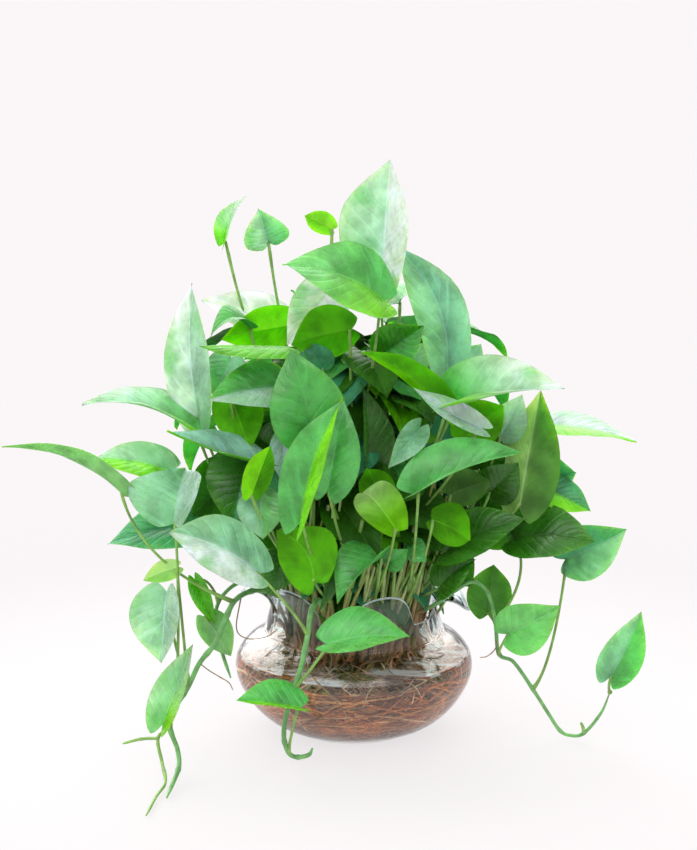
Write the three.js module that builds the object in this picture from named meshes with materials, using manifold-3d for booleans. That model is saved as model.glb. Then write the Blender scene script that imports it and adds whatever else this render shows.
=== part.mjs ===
// Pothos growing in water: a clear glass bowl with a petalled mouth, filled with roots and water,
// leafy cuttings that stand in the root mass, and four vines that trail over the rim.
// Millimetres, +Z up. The origin is the centre of the bowl's flat base, and -Y is the front.
import * as THREE from 'three';
import { mergeVertices } from 'three/addons/utils/BufferGeometryUtils.js';
import Module from 'manifold-3d';

const wasm = await Module();
wasm.setup();

// --- Driving dimensions ---------------------------------------------------------------------
const BASE_RADIUS = 45;
const BELLY_RADIUS = 92;
const BELLY_HEIGHT = 51;
const NECK_RADIUS = 69.5;
const NECK_HEIGHT = 79;
const GLASS = 3; // wall thickness
const BASE_RISE = 10; // height up to which the base's extra thickness reaches
const AROUND = 40; // sides of every round piece of the bowl and of what fills it

const COLLAR_LEAN = 105; // degrees from level, outwards, at which the collar leaves the neck
const COLLAR_STRAIGHT = 17; // straight stretch of the collar, up to the bottom of the notches
const PETAL_ROUND = 0.55; // how full a petal stays towards its notches: 1 is a cosine
const PETALS = [
  // bearing from the front, spread to each side, radius and length of the curl, length of the tip
  { bearing: 20, spread: 24, curl: 30, along: 28, tip: 0 },
  { bearing: 90, spread: 27, curl: 10.5, along: 30, tip: 10 },
  { bearing: 145, spread: 26, curl: 20, along: 28, tip: 0 },
  { bearing: 200, spread: 28, curl: 24, along: 28, tip: 0 },
  { bearing: 258, spread: 27, curl: 12, along: 30, tip: 5 },
  { bearing: 315, spread: 22, curl: 30, along: 29, tip: 0 },
];

const GAP = 0.3; // between pieces that touch
const WATER_LEVEL = 61;
const PACKED_TOP = 44; // height up to which the roots fill the bowl
const FILLED_LEVELS = [8, 18, 30, PACKED_TOP, WATER_LEVEL]; // heights at which the inside is drawn
const DRY_LEVELS = [73, 67]; // and those above the water, from the top
const WATER_FILM = 1.3; // water between the glass and the roots, where they fill the bowl
const CROWN_HEIGHT = 72; // flat top of the root mass, where the cuttings stand
const CROWN_RADIUS = 54;
const HOLE_DEPTH = 12;
const FLOOR = 6; // height of the water's underside
const ROOT_FLOOR = 9;
const RIDGE = 1.4; // depth of the furrows between roots
const LOOSE_ROOTS = 8;
const STRAND_RADIUS = 1.2;

const STEM_RADIUS = 2.3;
const PETIOLE_RADIUS = 1.3;
const VINE_RADIUS = 2.2;
const SHOOT_RADIUS = 1.6;
const THREAD_RADIUS = 0.8; // thin roots in the air
const BLADE = 1; // thickness of a leaf
const LOBE = 0.13; // how far a leaf's heart lobes reach behind its base, as a share of its length
const WAVE = 0.03; // height of the waved edge, as a share of the leaf's width
const BROADER = 1.05; // a blade drawn with few rows is this much broader, which keeps its area
const LONG_LEAF = 70; // longer leaves are drawn with more rows
const BLADE_ROWS = [0, 0.18, 0.45, 0.75];
const SHORT_ROWS = [0, 0.24, 0.62];
const TIDY = 0.15; // detail smaller than this is smoothed away where pieces grow together

// Where the front view was read from: a place on the axis plane is carried from it to its depth.
const EYE = new THREE.Vector3(-4, -1761, 614);

// Sides that the upper face of a leaf looks to
const FRONT = [0, -1, 0.15];
const FRONT_UP = [0, -0.7, 0.7];
const UP = [0, -0.25, 1];
const LEFT = [-0.75, -0.65, 0.1];
const RIGHT = [0.75, -0.65, 0.1];
const BACK = [0, 1, 0.1];
const BACK_UP = [0, 0.6, 0.8];

// --- Cuttings ---------------------------------------------------------------------------------
// Each stands in its hole at a bearing from the front and a distance from the axis, and rises and
// leans out. Its leaves, lowest first: base and tip as [across, height, depth] seen from the
// front, width, side that the upper face looks to, fold along the midrib in degrees, or the folds of
// the left and right half seen from above with the tip ahead, bow, and where it isn't the usual
// one, the share of the length at which the blade is widest, and how far the midrib sways.
const CUTTINGS = {
  cutting_01: { bearing: -42, out: 42, rise: 70, leaves: [
    [[-53, 138, -62], [-67, 106, -76], 28, FRONT, 12, 0.1],
    [[-72, 186, -84], [-70, 150, -94], 34, FRONT, 12, 0.1],
    [[-79, 184, -103], [-64, 224, -113], 22, BACK, 25, 0.1],
    [[-54, 231, -60], [-54, 194, -74], 20, FRONT, 15, 0.1],
  ] },
  cutting_02: { bearing: -18, out: 47, rise: 60, leaves: [
    [[-20, 151, -54], [-27, 92, -84], 26, RIGHT, 25, 0.1],
    [[-31, 116, -108], [-60, 157, -96], 46, BACK, 10, 0.1, 0.4, -0.16],
    [[-41, 164, -120], [-8, 261, -116], 40, LEFT, [42, 22], 0.08],
  ] },
  cutting_03: { bearing: 8, out: 30, rise: 90, leaves: [
    [[-20, 189, -108], [-8, 260, -104], 38, FRONT, 10, 0.1],
    [[-28, 227, -94], [-48, 299, -90], 54, FRONT, 12, 0.1],
    [[8, 195, -58], [5, 273, -54], 38, RIGHT, 32, 0.08],
  ] },
  cutting_04: { bearing: 18, out: 42, rise: 70, leaves: [
    [[22, 136, -80], [-13, 98, -108], 46, FRONT_UP, [72, 10], 0.18],
    [[33, 157, -94], [6, 186, -122], 34, BACK, 18, 0.28],
    [[22, 178, -81], [10, 206, -89], 26, BACK, 15, 0.15],
    [[26, 131, -70], [42, 142, -80], 18, FRONT, 12, 0.1],
  ] },
  cutting_05: { bearing: 46, out: 47, rise: 62, leaves: [
    [[60, 166, -82], [89, 149, -102], 34, BACK, 22, 0.15],
    [[47, 186, -102], [128, 218, -88], 50, FRONT_UP, [14, 60], 0.12],
    [[43, 146, -62], [56, 132, -72], 18, FRONT, 12, 0.1],
  ] },
  cutting_06: { bearing: 48, out: 25, rise: 120, leaves: [
    [[50, 238, -76], [26, 206, -94], 26, FRONT, 42, 0.1],
    [[97, 238, -82], [45, 269, -99], 21, FRONT_UP, [20, 40], -0.06, 0.25],
    [[71, 246, -80], [5, 296, -100], 30, BACK_UP, 20, 0.12],
    [[73, 252, -72], [160, 268, -88], 60, FRONT_UP, [35, 60], 0.1],
  ] },
  cutting_07: { bearing: 70, out: 47, rise: 70, leaves: [
    [[66, 112, -58], [94, 134, -72], 32, FRONT_UP, 12, 0.1],
    [[71, 140, -62], [133, 166, -78], 40, FRONT_UP, 12, 0.12],
    [[73, 185, -58], [104, 195, -68], 30, BACK, 15, 0.15],
    [[104, 187, -46], [126, 211, -56], 32, FRONT, 12, 0.1],
    [[127, 176, -62], [142, 267, -52], 50, BACK, [5, 50], 0.05, 0.3],
    [[83, 229, -52], [114, 255, -60], 38, BACK, 15, 0.1],
    [[112, 232, -38], [128, 264, -44], 28, FRONT, 12, 0.1],
  ] },
  cutting_08: { bearing: 98, out: 47, rise: 80, leaves: [
    [[148, 199, -6], [170, 203, -20], 34, FRONT, 12, 0.1],
    [[142, 192, -22], [182, 172, -34], 30, FRONT_UP, [10, 14], 0.04],
    [[148, 240, -24], [216, 227, -34], 34, UP, [8, 5], 0.05, 0.25],
    [[128, 219, -24], [124, 250, -36], 28, BACK, 18, 0.2],
    [[80, 279, -10], [96, 303, -16], 28, FRONT, 12, 0.1],
  ] },
  cutting_09: { bearing: -66, out: 47, rise: 84, leaves: [
    [[-78, 214, -54], [-94, 160, -72], 56, FRONT_UP, 12, 0.12],
    [[-70, 210, -76], [-143, 235, -92], 44, [0, -0.5, 0.85], [46, 0], -0.04],
    [[-95, 266, -57], [-80, 219, -68], 38, BACK, 18, 0.1],
    [[-57, 269, -60], [-110, 260, -82], 40, FRONT_UP, [12, 26], 0.06, 0.3],
  ] },
  cutting_10: { bearing: -88, out: 47, rise: 80, leaves: [
    [[-106, 160, -16], [-190, 146, -24], 42, FRONT_UP, 12, 0.12],
    [[-141, 204, -22], [-200, 213, -32], 34, FRONT_UP, [14, 12], 0.12, 0.25],
    [[-116, 229, -42], [-207, 256, -56], 44, UP, 24, 0.14],
    [[-118, 245, -36], [-122, 349, -28], 40, [-0.45, -0.88, 0.1], 18, 0.08],
  ] },
  cutting_11: { bearing: -60, out: 25, rise: 150, leaves: [
    [[-93, 292, -26], [-107, 261, -39], 30, FRONT, 12, 0.1],
    [[-58, 275, -34], [-101, 272, -50], 34, BACK_UP, 14, 0.12],
    [[-50, 300, -72], [-117, 301, -84], 30, UP, [-12, -28], 0],
    [[-44, 318, -18], [-101, 306, -38], 32, BACK, 8, 0.06],
    [[-78, 314, -28], [-109, 307, -42], 26, UP, 18, 0.4],
  ] },
  cutting_12: { bearing: 8, out: 10, rise: 180, leaves: [
    [[-24, 284, -44], [-36, 305, -50], 24, FRONT, 12, 0.1],
    [[-2, 314, -50], [-48, 302, -64], 40, BACK, 15, 0.12],
    [[22, 295, -38], [53, 317, -52], 36, FRONT, 18, 0.1],
    [[22, 336, -68], [-54, 363, -90], 54, FRONT_UP, [8, 14], 0.14],
  ] },
  cutting_13: { bearing: 120, out: 25, rise: 175, leaves: [
    [[37, 278, -26], [54, 304, -34], 28, FRONT, 10, 0.1],
    [[69, 268, -34], [30, 378, -12], 38, FRONT, 14, 0.08, 0.5, 0.14],
    [[-14, 348, -24], [-51, 302, -38], 40, FRONT, 12, 0.12],
    [[20, 346, -22], [27, 442, -32], 66, FRONT, [10, 62], 0.1, 0.55],
    [[34, 334, 30], [60, 346, 86], 48, BACK_UP, 14, 0.14],
  ] },
  cutting_14: { bearing: -125, out: 25, rise: 190, leaves: [
    [[-52, 315, 4], [-115, 336, -6], 40, FRONT_UP, 14, 0.02],
    [[-97, 380, -4], [-81, 415, -10], 20, LEFT, 35, 0.1],
    [[-64, 380, -2], [-72, 405, -18], 34, FRONT, 14, 0.1],
    [[-16, 390, -2], [-37, 400, -12], 18, BACK, 18, 0.1],
    [[-22, 326, 36], [-34, 330, 96], 48, BACK_UP, 14, 0.14],
  ] },
};

// --- Cuttings of the back -----------------------------------------------------------------------
// Their leaves follow a rule: they hang like shingles on the round of the bush, turned left and
// right of their stem in turn. Every other cutting stands further in and carries its leaves there.
const FIRST_BACK = 15; // number of the first cutting of the back
const BACK_BEARINGS = [117, 140, 163, 186, 209, 231, 252];
const OUTER = { out: 47, rise: 80, share: 0.84, width: 50, climbs: [-24, -5, 14, 33, 52] };
const INNER = { out: 30, rise: 110, share: 0.66, width: 34, climbs: [-14, 6, 26, 40] };
const BACK_TURN = 5; // degrees that a leaf's base lies to the side of its stem
const BACK_HANG = 26; // degrees that a tip hangs below its base, seen from the bush's middle
const BACK_FOLD = 14;
const BACK_BOW = 0.12;
const BUSH_CENTRE = 210; // height
const BUSH_REACH = { level: 128, up: 150, down: 100 };

// --- Vines ----------------------------------------------------------------------------------
// Each path runs from the crown, over the rim and down to the surface, in real places. Branches have
// a radius of their own: shoots, thin roots in the air and buds. A leaf's row begins with the point
// of the path at which its petiole starts and the place it swings by, and goes on like a cutting's.
const VINES = {
  vine_left: {
    radius: VINE_RADIUS,
    path: [[-34, -8, 60.5], [-35, -8, 84], [-48, -11, 102], [-68, -32, 118], [-80, -50, 122],
      [-90, -62, 118], [-97, -68, 104], [-104, -74, 89], [-115, -80, 76], [-123, -86, 60],
      [-132, -92, 46], [-136, -100, 33], [-130, -112, 20], [-128, -128, 12], [-132, -150, 5],
      [-134, -166, 3.2]],
    branches: [
      [SHOOT_RADIUS, [[-136, -100, 33], [-145, -102, 25], [-141, -118, 12], [-137, -140, 5],
        [-142, -165, 3], [-146, -200, 2.8]]],
      [SHOOT_RADIUS, [[-145, -102, 25], [-158, -98, 23], [-172, -94, 18]]],
      [THREAD_RADIUS, [[-115, -80, 76], [-99, -84, 66], [-90, -84, 56]]],
      [THREAD_RADIUS, [[-85, -56, 119], [-88, -64, 98], [-80, -70, 92], [-66, -66, 92], [-57, -62, 97]]],
    ],
    leaves: [
      [5, [-165, 129, -60], [-176, 185, -52], [-269, 223, -44], 27, BACK_UP, 16, 0.12],
      [10, [-134, 100, -80], [-138, 163, -66], [-129, 206, -42], 74, FRONT_UP, [4, 60], 0.1, 0.5],
      [9, [-140, 60, -84], [-145, 108, -74], [-150, 50, -88], 50, FRONT, [62, 12], 0.1],
      [9, [-134, 90, -74], [-136, 128, -64], [-163, 117, -72], 18, BACK, [50, 10], 0.1],
      [11, [-146, 12, -98], [-150, 0, -110], [-125, 66, -98], 40, FRONT, [38, 70], 0.1],
    ],
  },
  vine_left_back: {
    radius: 1.8,
    path: [[-28, 6, 60.5], [-29, 6, 84], [-50, 7, 106], [-72, 5, 118], [-90, -3, 116],
      [-104, -14, 104], [-106, -28, 86], [-99, -46, 70], [-93, -60, 58]],
    branches: [],
    leaves: [
      [5, [-112, 122, -24], [-123, 118, -30], [-108, 82, -42], 15, FRONT, 18, 0.1],
      [6, [-112, 84, -44], [-116, 88, -40], [-96, 56, -56], 26, BACK, 14, 0.1],
    ],
  },
  vine_front: {
    radius: VINE_RADIUS,
    path: [[-18, -32, 60.5], [-19, -34, 84], [-23, -52, 108], [-27, -70, 122], [-32, -88, 117],
      [-34, -99, 104], [-38, -104, 84], [-44, -105, 64], [-50, -104, 44], [-52, -101, 26],
      [-49, -96, 12], [-43, -90, 6], [-34, -88, 7], [-31, -87, 12]],
    branches: [
      [THREAD_RADIUS, [[-38, -104, 84], [-28, -110, 72], [-14, -112, 58], [-2, -106, 38]]],
    ],
    leaves: [
      [5, [-50, 98, -102], [-74, 123, -100], [-142, 156, -114], 48, FRONT_UP, 12, 0.14, 0.5],
      [7, [-34, 44, -110], [-21, 66, -116], [44, 72, -118], 46, FRONT_UP, [5, 40], 0.1],
      [10, [-49, -6, -104], [-42, 14, -114], [-92, 20, -126], 38, FRONT_UP, [55, 5], 0.04],
    ],
  },
  vine_right: {
    radius: 1.7,
    path: [[28, -17, 60.5], [29, -18, 84], [45, -25, 97], [61, -33, 107], [77, -40, 121],
      [90, -42, 128], [101, -42, 119], [107, -42, 96], [110, -44, 72], [121, -46, 66], [136, -44, 44],
      [148, -40, 24], [158, -36, 8], [166, -36, 4], [176, -40, 7], [188, -48, 26], [194, -52, 44]],
    branches: [
      [THREAD_RADIUS, [[108, -43, 84], [107, -47, 77], [101, -50, 72], [95, -51, 71]]],
      [SHOOT_RADIUS, [[176, -40, 7], [175, -44, 13], [173, -46, 18]]],
    ],
    leaves: [
      [7, [106, 88, -38], [104, 90, -32], [108, 130, -34], 34, BACK, 12, 0.1],
      [7, [138, 118, -40], [123, 150, -38], [186, 148, -56], 48, FRONT_UP, 12, 0.14],
      [8, [112, 60, -50], [119, 74, -54], [160, 97, -68], 40, FRONT, 16, 0.14],
      [10, [155, 46, -38], [163, 134, -20], [210, 158, -34], 42, FRONT, 12, 0.12],
      [16, [198, 30, -58], [200, 39, -58], [223, 92, -62], 32, FRONT, 12, 0.12],
    ],
  },
};

// --- Colours ------------------------------------------------------------------------------------
const MATERIALS = {
  glass: { color: 0xdfeeee, roughness: 0.04, metalness: 0, transparent: true, opacity: 0.35 },
  water: { color: 0xd5e2df, roughness: 0.02, metalness: 0, transparent: true, opacity: 0.3 },
  root: { color: 0x8a5a3a, roughness: 0.75, metalness: 0 },
  leaf: { color: 0x4fae2e, roughness: 0.35, metalness: 0 },
  vine: { color: 0x63b84a, roughness: 0.38, metalness: 0 },
};

// --- Solids ---------------------------------------------------------------------------------------
const part = new THREE.Group();

function toSolid(geometry) {
  geometry.deleteAttribute('normal');
  geometry.deleteAttribute('uv');
  const merged = mergeVertices(geometry, 1e-4);
  return new wasm.Manifold(new wasm.Mesh({
    numProp: 3,
    vertProperties: new Float32Array(merged.attributes.position.array),
    triVerts: new Uint32Array(merged.index.array),
  }));
}

function fuse(solids) {
  return solids.reduce((whole, solid) => whole.add(solid)).simplify(TIDY);
}

function addPart(name, solid, look) {
  const { vertProperties, triVerts } = solid.getMesh();
  const geometry = new THREE.BufferGeometry();
  geometry.setAttribute('position', new THREE.BufferAttribute(vertProperties, 3));
  geometry.setIndex(new THREE.BufferAttribute(triVerts, 1));
  geometry.computeVertexNormals();
  const mesh = new THREE.Mesh(geometry, new THREE.MeshStandardMaterial(MATERIALS[look]));
  mesh.name = name;
  part.add(mesh);
}

// Closed surface through rings of points: each ring is a list, and the ends close on one point.
function ringsSolid(rings, start, end) {
  const count = rings[0].length;
  const points = [start, ...rings.flat(), end];
  const faces = [];
  const at = (ring, side) => 1 + ring * count + (side % count);
  for (let side = 0; side < count; side += 1) {
    faces.push(0, at(0, side + 1), at(0, side));
    for (let ring = 0; ring + 1 < rings.length; ring += 1) {
      faces.push(at(ring, side), at(ring, side + 1), at(ring + 1, side));
      faces.push(at(ring, side + 1), at(ring + 1, side + 1), at(ring + 1, side));
    }
    faces.push(points.length - 1, at(rings.length - 1, side), at(rings.length - 1, side + 1));
  }
  const geometry = new THREE.BufferGeometry().setFromPoints(points);
  geometry.setIndex(faces);
  return toSolid(geometry);
}

// Rod along a curve that ends in a short point
function pointedRod(curve, radius, sides) {
  const shares = [0, 0.42, 0.92];
  const frames = curve.computeFrenetFrames(shares.length);
  const rings = shares.map((share, step) => (
    Array.from({ length: sides }, (_, side) => {
      const angle = (side / sides) * 2 * Math.PI;
      return curve.getPointAt(share)
        .addScaledVector(frames.normals[step], radius * Math.cos(angle))
        .addScaledVector(frames.binormals[step], radius * Math.sin(angle));
    })));
  return ringsSolid(rings, curve.getPointAt(0), curve.getPointAt(1));
}

function tube(points, radius, sides, steps) {
  const section = new THREE.Shape();
  for (let i = 0; i < sides; i += 1) {
    const angle = (i / sides) * 2 * Math.PI;
    const corner = [radius * Math.cos(angle), radius * Math.sin(angle)];
    if (i === 0) section.moveTo(...corner);
    else section.lineTo(...corner);
  }
  const extrudePath = new THREE.CatmullRomCurve3(points);
  return toSolid(new THREE.ExtrudeGeometry(section, { steps, extrudePath }));
}

// --- Bowl, water and roots ------------------------------------------------------------------------
const radians = THREE.MathUtils.degToRad;

// Place at a bearing from the front, turning towards the right
function polar(bearing, radius, z) {
  const angle = radians(bearing);
  return new THREE.Vector3(radius * Math.sin(angle), -radius * Math.cos(angle), z);
}

// Outer profile of the bowl's body, from the base to the neck
const BODY = [
  [BASE_RADIUS, 0], [55, 4.5], [67, 11], [77, 20], [84.5, 30], [90, 41],
  [BELLY_RADIUS, BELLY_HEIGHT], [90, 61], [83.5, 69.5], [76, 75], [NECK_RADIUS, NECK_HEIGHT],
];

function bodyRadius(z) {
  const next = BODY.findIndex(([, height]) => height >= z);
  if (next <= 0) return BODY[0][0];
  const [[r0, z0], [r1, z1]] = [BODY[next - 1], BODY[next]];
  return r0 + (r1 - r0) * (z - z0) / (z1 - z0);
}

// The collar rises from the neck, then curls outwards; a petal is cut longest on its own bearing
function collarPoint(bearing, share, inset) {
  const offset = (p) => Math.abs(((bearing - p.bearing + 540) % 360) - 180);
  const petal = PETALS.reduce((best, p) => (offset(p) < offset(best) ? p : best));
  const away = Math.min(1, offset(petal) / petal.spread);
  const fullness = Math.max(0, Math.cos(radians(90 * away))) ** PETAL_ROUND;
  const length = share * (COLLAR_STRAIGHT + fullness * (petal.along + petal.tip));
  const straight = Math.min(length, COLLAR_STRAIGHT);
  const turn = Math.min(Math.max(length - straight, 0), petal.along) / petal.curl;
  const hang = Math.max(length - straight - petal.along, 0);
  const lean = radians(COLLAR_LEAN);
  const slope = lean - turn;
  const r = NECK_RADIUS + straight * Math.cos(lean)
    + petal.curl * (Math.sin(lean) - Math.sin(slope)) + hang * Math.cos(slope) - inset * Math.sin(slope);
  const z = NECK_HEIGHT + straight * Math.sin(lean)
    + petal.curl * (Math.cos(slope) - Math.cos(lean)) + hang * Math.sin(slope) + inset * Math.cos(slope);
  return polar(bearing, r, z);
}

function ring(placeAt) {
  return Array.from({ length: AROUND }, (_, side) => placeAt((side * 360) / AROUND));
}

function glassBowl() {
  const shares = [0.22, 0.44, 0.68, 0.92];
  const rings = BODY.map(([r, z]) => ring((b) => polar(b, r, z)));
  shares.forEach((s) => rings.push(ring((b) => collarPoint(b, s, 0))));
  rings.push(ring((b) => collarPoint(b, 1, GLASS / 2))); // rounded lip
  [...shares].reverse().forEach((s) => rings.push(ring((b) => collarPoint(b, s, GLASS))));
  [...DRY_LEVELS, ...[...FILLED_LEVELS].reverse()].forEach((z) => {
    rings.push(ring((b) => polar(b, innerRadius(z), z)));
  });
  return ringsSolid(rings, new THREE.Vector3(0, 0, 0), new THREE.Vector3(0, 0, FLOOR - GAP));
}

// The slant of the wall takes a little of its thickness, and the base is thicker
function innerRadius(z) {
  const wall = GLASS * 1.15;
  const extra = z < BASE_RISE ? 0.5 * (BASE_RISE + 4 - z) : 0;
  return bodyRadius(z) - wall - extra;
}

// Room for the roots: they fill the bowl to the glass, then draw in to the crown
function rootRoom(z) {
  const full = innerRadius(Math.min(z, PACKED_TOP)) - 2 * GAP - WATER_FILM;
  const share = Math.max(0, z - PACKED_TOP) / (CROWN_HEIGHT - PACKED_TOP);
  return THREE.MathUtils.lerp(full, CROWN_RADIUS, share ** 1.2);
}

function waterBody() {
  const outer = FILLED_LEVELS.map((z) => ring((b) => polar(b, innerRadius(z) - GAP, z)));
  const inner = FILLED_LEVELS.slice(1).reverse().map((z) => ring((b) => polar(b, rootRoom(z) + GAP, z)));
  const floor = ring((b) => polar(b, rootRoom(ROOT_FLOOR) - 1, ROOT_FLOOR - GAP));
  return ringsSolid([...outer, ...inner, floor],
    new THREE.Vector3(0, 0, FLOOR), new THREE.Vector3(0, 0, ROOT_FLOOR - GAP));
}

// The packed mass: ridges wind over it, and above it is a narrower neck of stem bases. Each row is
// a height and how far the mass stays inside its room there.
function rootCore() {
  const rows = [[ROOT_FLOOR, 3], [18, 0], [30, 0], [PACKED_TOP, 0], [51, 14], [WATER_LEVEL, 15],
    [CROWN_HEIGHT, 1]];
  const rings = rows.map(([z, inset]) => ring((b) => {
    const ridge = Math.abs(Math.sin(radians(4.5 * b) + z / 6));
    return polar(b, rootRoom(z) - inset - RIDGE * (1 - ridge), z);
  }));
  return ringsSolid(rings, new THREE.Vector3(0, 0, ROOT_FLOOR), new THREE.Vector3(0, 0, CROWN_HEIGHT));
}

// Root that leaves the crown's side, arches out through the water and dives into the packed mass
function looseRoot(random) {
  const bearing = random() * 360;
  const sweep = 70 * (random() - 0.5);
  const high = 50 + 14 * random();
  const reach = 0.86 + 0.1 * random();
  const at = (share, z, stay) => polar(bearing + sweep * share, rootRoom(z) * stay - STRAND_RADIUS, z);
  return tube([at(0, high + 4, 0.86), at(0.3, high, reach), at(0.7, 40, reach), at(1, 24, 0.97)],
    STRAND_RADIUS, 3, 6);
}

// Random numbers from 0 to 1, the same in every run
function seeded(seed) {
  let state = seed;
  return () => {
    state = (state * 16807) % 2147483647;
    return state / 2147483647;
  };
}

function rootMass(holes) {
  const random = seeded(11);
  const loose = Array.from({ length: LOOSE_ROOTS }, () => looseRoot(random));
  return fuse([rootCore(), ...loose]).subtract(fuse(holes)).simplify(TIDY);
}

function hole(place) {
  const bottom = place.clone().setZ(CROWN_HEIGHT - HOLE_DEPTH);
  const top = place.clone().setZ(CROWN_HEIGHT + 2);
  return tube([bottom, top], (STEM_RADIUS + GAP + 0.1) / Math.cos(Math.PI / 5), 5, 1);
}

// --- Leaves -----------------------------------------------------------------------------------------
function seen([x, z, y]) {
  return new THREE.Vector3(x, 0, z).lerp(EYE, y / EYE.y).setY(y);
}

// Half width of a blade along its midrib, as a share of its greatest half width
function outline(t, widest) {
  if (t < widest) return Math.sqrt(1 - ((widest - t) / (widest + 0.05)) ** 2);
  const g = (t - widest) / (1 - widest);
  return (1 - g ** 2) * (1 - 0.28 * g ** 3);
}

// Point of a blade's middle surface: t runs along the midrib, v across from -1 to 1
function bladePoint(leaf, t, v) {
  const side = Math.abs(v);
  const along = t - LOBE * (1 - t) ** 4 * (1 - (1 - side) ** 2);
  const half = 0.5 * leaf.width * outline(t, leaf.widest) * side;
  const fold = leaf.folds[v > 0 ? 1 : 0];
  const wave = WAVE * leaf.width * Math.sin(7 * t + leaf.phase + 2 * Math.sign(v)) * side;
  const arc = leaf.length * 4 * t * (1 - t);
  return leaf.base.clone()
    .addScaledVector(leaf.run, along * leaf.length)
    .addScaledVector(leaf.side, Math.sign(v) * half * Math.cos(fold) + leaf.sway * arc)
    .addScaledVector(leaf.up, half * Math.sin(fold) + wave + leaf.bow * arc);
}

function makeLeaf(base, tip, width, facing, fold, bow, widest = 0.33, sway = 0) {
  const run = tip.clone().sub(base);
  const length = run.length();
  run.normalize();
  const side = new THREE.Vector3().crossVectors(run, new THREE.Vector3(...facing)).normalize();
  const up = new THREE.Vector3().crossVectors(side, run);
  const folds = [fold].flat().map(radians);
  if (folds.length === 1) folds.push(folds[0]);
  const phase = base.x + base.z;
  return { base, run, side, up, length, width: BROADER * width, folds, bow, widest, sway, phase };
}

// A blade is one thin plate: the same triangles above and below, joined round the edge
function bladeSolid(leaf) {
  const rows = leaf.length > LONG_LEAF ? BLADE_ROWS : SHORT_ROWS;
  const middle = rows.flatMap((t) => [-1, 0, 1].map((v) => bladePoint(leaf, t, v)));
  middle.push(bladePoint(leaf, 1, 0));
  const last = middle.length - 1;
  const top = [];
  for (let row = 0; row < rows.length; row += 1) {
    const a = 3 * row;
    if (row + 1 < rows.length) {
      top.push([a, a + 3, a + 4], [a, a + 4, a + 1], [a + 1, a + 4, a + 5], [a + 1, a + 5, a + 2]);
    } else top.push([a, last, a + 1], [a + 1, last, a + 2]);
  }
  const rim = [1, 0, ...rows.slice(1).map((_, i) => 3 * (i + 1)), last,
    ...rows.map((_, i) => 3 * i + 2).reverse()];
  const half = leaf.up.clone().multiplyScalar(BLADE / 2);
  const points = [...middle.map((p) => p.clone().add(half)), ...middle.map((p) => p.clone().sub(half))];
  const under = middle.length;
  const faces = top.flatMap(([a, b, c]) => [a, c, b, a + under, b + under, c + under]);
  rim.forEach((a, i) => {
    const b = rim[(i + 1) % rim.length];
    faces.push(a, b, b + under, a, b + under, a + under);
  });
  const geometry = new THREE.BufferGeometry().setFromPoints(points);
  geometry.setIndex(faces);
  return toSolid(geometry);
}

// A petiole leaves its stem, swings out and rises to the base of its blade
function petioleSolid(from, leaf, via) {
  const end = bladePoint(leaf, 0.06, 0);
  const level = Math.hypot(end.x - from.x, end.y - from.y);
  const bend = new THREE.Vector3(
    THREE.MathUtils.lerp(from.x, end.x, 0.72),
    THREE.MathUtils.lerp(from.y, end.y, 0.72),
    THREE.MathUtils.lerp(from.z, end.z, 0.4) + 0.1 * level,
  );
  return pointedRod(new THREE.QuadraticBezierCurve3(from, via ?? bend, end), PETIOLE_RADIUS, 3);
}

// --- Cuttings and vines in their places --------------------------------------------------------------
function stemCurve({ bearing, out, rise }) {
  const foot = CROWN_HEIGHT - HOLE_DEPTH + GAP;
  return new THREE.CatmullRomCurve3([
    polar(bearing, out, foot), polar(bearing, out, CROWN_HEIGHT + 4),
    polar(bearing, out * 1.12, CROWN_HEIGHT + rise * 0.55), polar(bearing, out * 1.4, CROWN_HEIGHT + rise),
  ]);
}

function cuttingSolid(cutting, leaves) {
  const curve = stemCurve(cutting);
  const pieces = [tube(curve.getPoints(5), STEM_RADIUS, 5, 4)];
  leaves.forEach((leaf, i) => {
    const from = curve.getPointAt(0.5 + (0.48 * (i + 0.5)) / leaves.length);
    pieces.push(petioleSolid(from, leaf), bladeSolid(leaf));
  });
  return fuse(pieces);
}

function readLeaf([base, tip, ...rest]) {
  return makeLeaf(seen(base), seen(tip), ...rest);
}

// Place on the round of the bush, at a bearing and a height angle, as a share of its reach
function bushPoint(bearing, climb, share) {
  const up = climb > 0 ? BUSH_REACH.up : BUSH_REACH.down;
  const level = share * BUSH_REACH.level * Math.cos(climb);
  return polar(bearing, level, BUSH_CENTRE + share * up * Math.sin(climb));
}

function backLeaf({ bearing, share, width: usual }, climb, order) {
  const turned = bearing + (order % 2 ? BACK_TURN : -BACK_TURN);
  const width = usual + 4 * Math.sin(bearing + 2 * order);
  const base = bushPoint(turned, radians(climb), share);
  const tip = bushPoint(turned, radians(climb - BACK_HANG), share + 0.28);
  const facing = bushPoint(turned, radians(climb), 1).setZ(150 * Math.sin(radians(climb)) + 60);
  return makeLeaf(base, tip, width, facing.toArray(), BACK_FOLD, BACK_BOW);
}

function addCuttings() {
  Object.entries(CUTTINGS).forEach(([name, cutting]) => {
    addPart(name, cuttingSolid(cutting, cutting.leaves.map(readLeaf)), 'leaf');
  });
  const backs = BACK_BEARINGS.map((bearing, i) => ({ bearing, ...(i % 2 ? INNER : OUTER) }));
  backs.forEach((cutting, i) => {
    const leaves = cutting.climbs.map((climb, order) => backLeaf(cutting, climb, order));
    addPart(`cutting_${FIRST_BACK + i}`, cuttingSolid(cutting, leaves), 'leaf');
  });
  return [...Object.values(CUTTINGS), ...backs].map(({ bearing, out }) => polar(bearing, out, 0));
}

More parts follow.
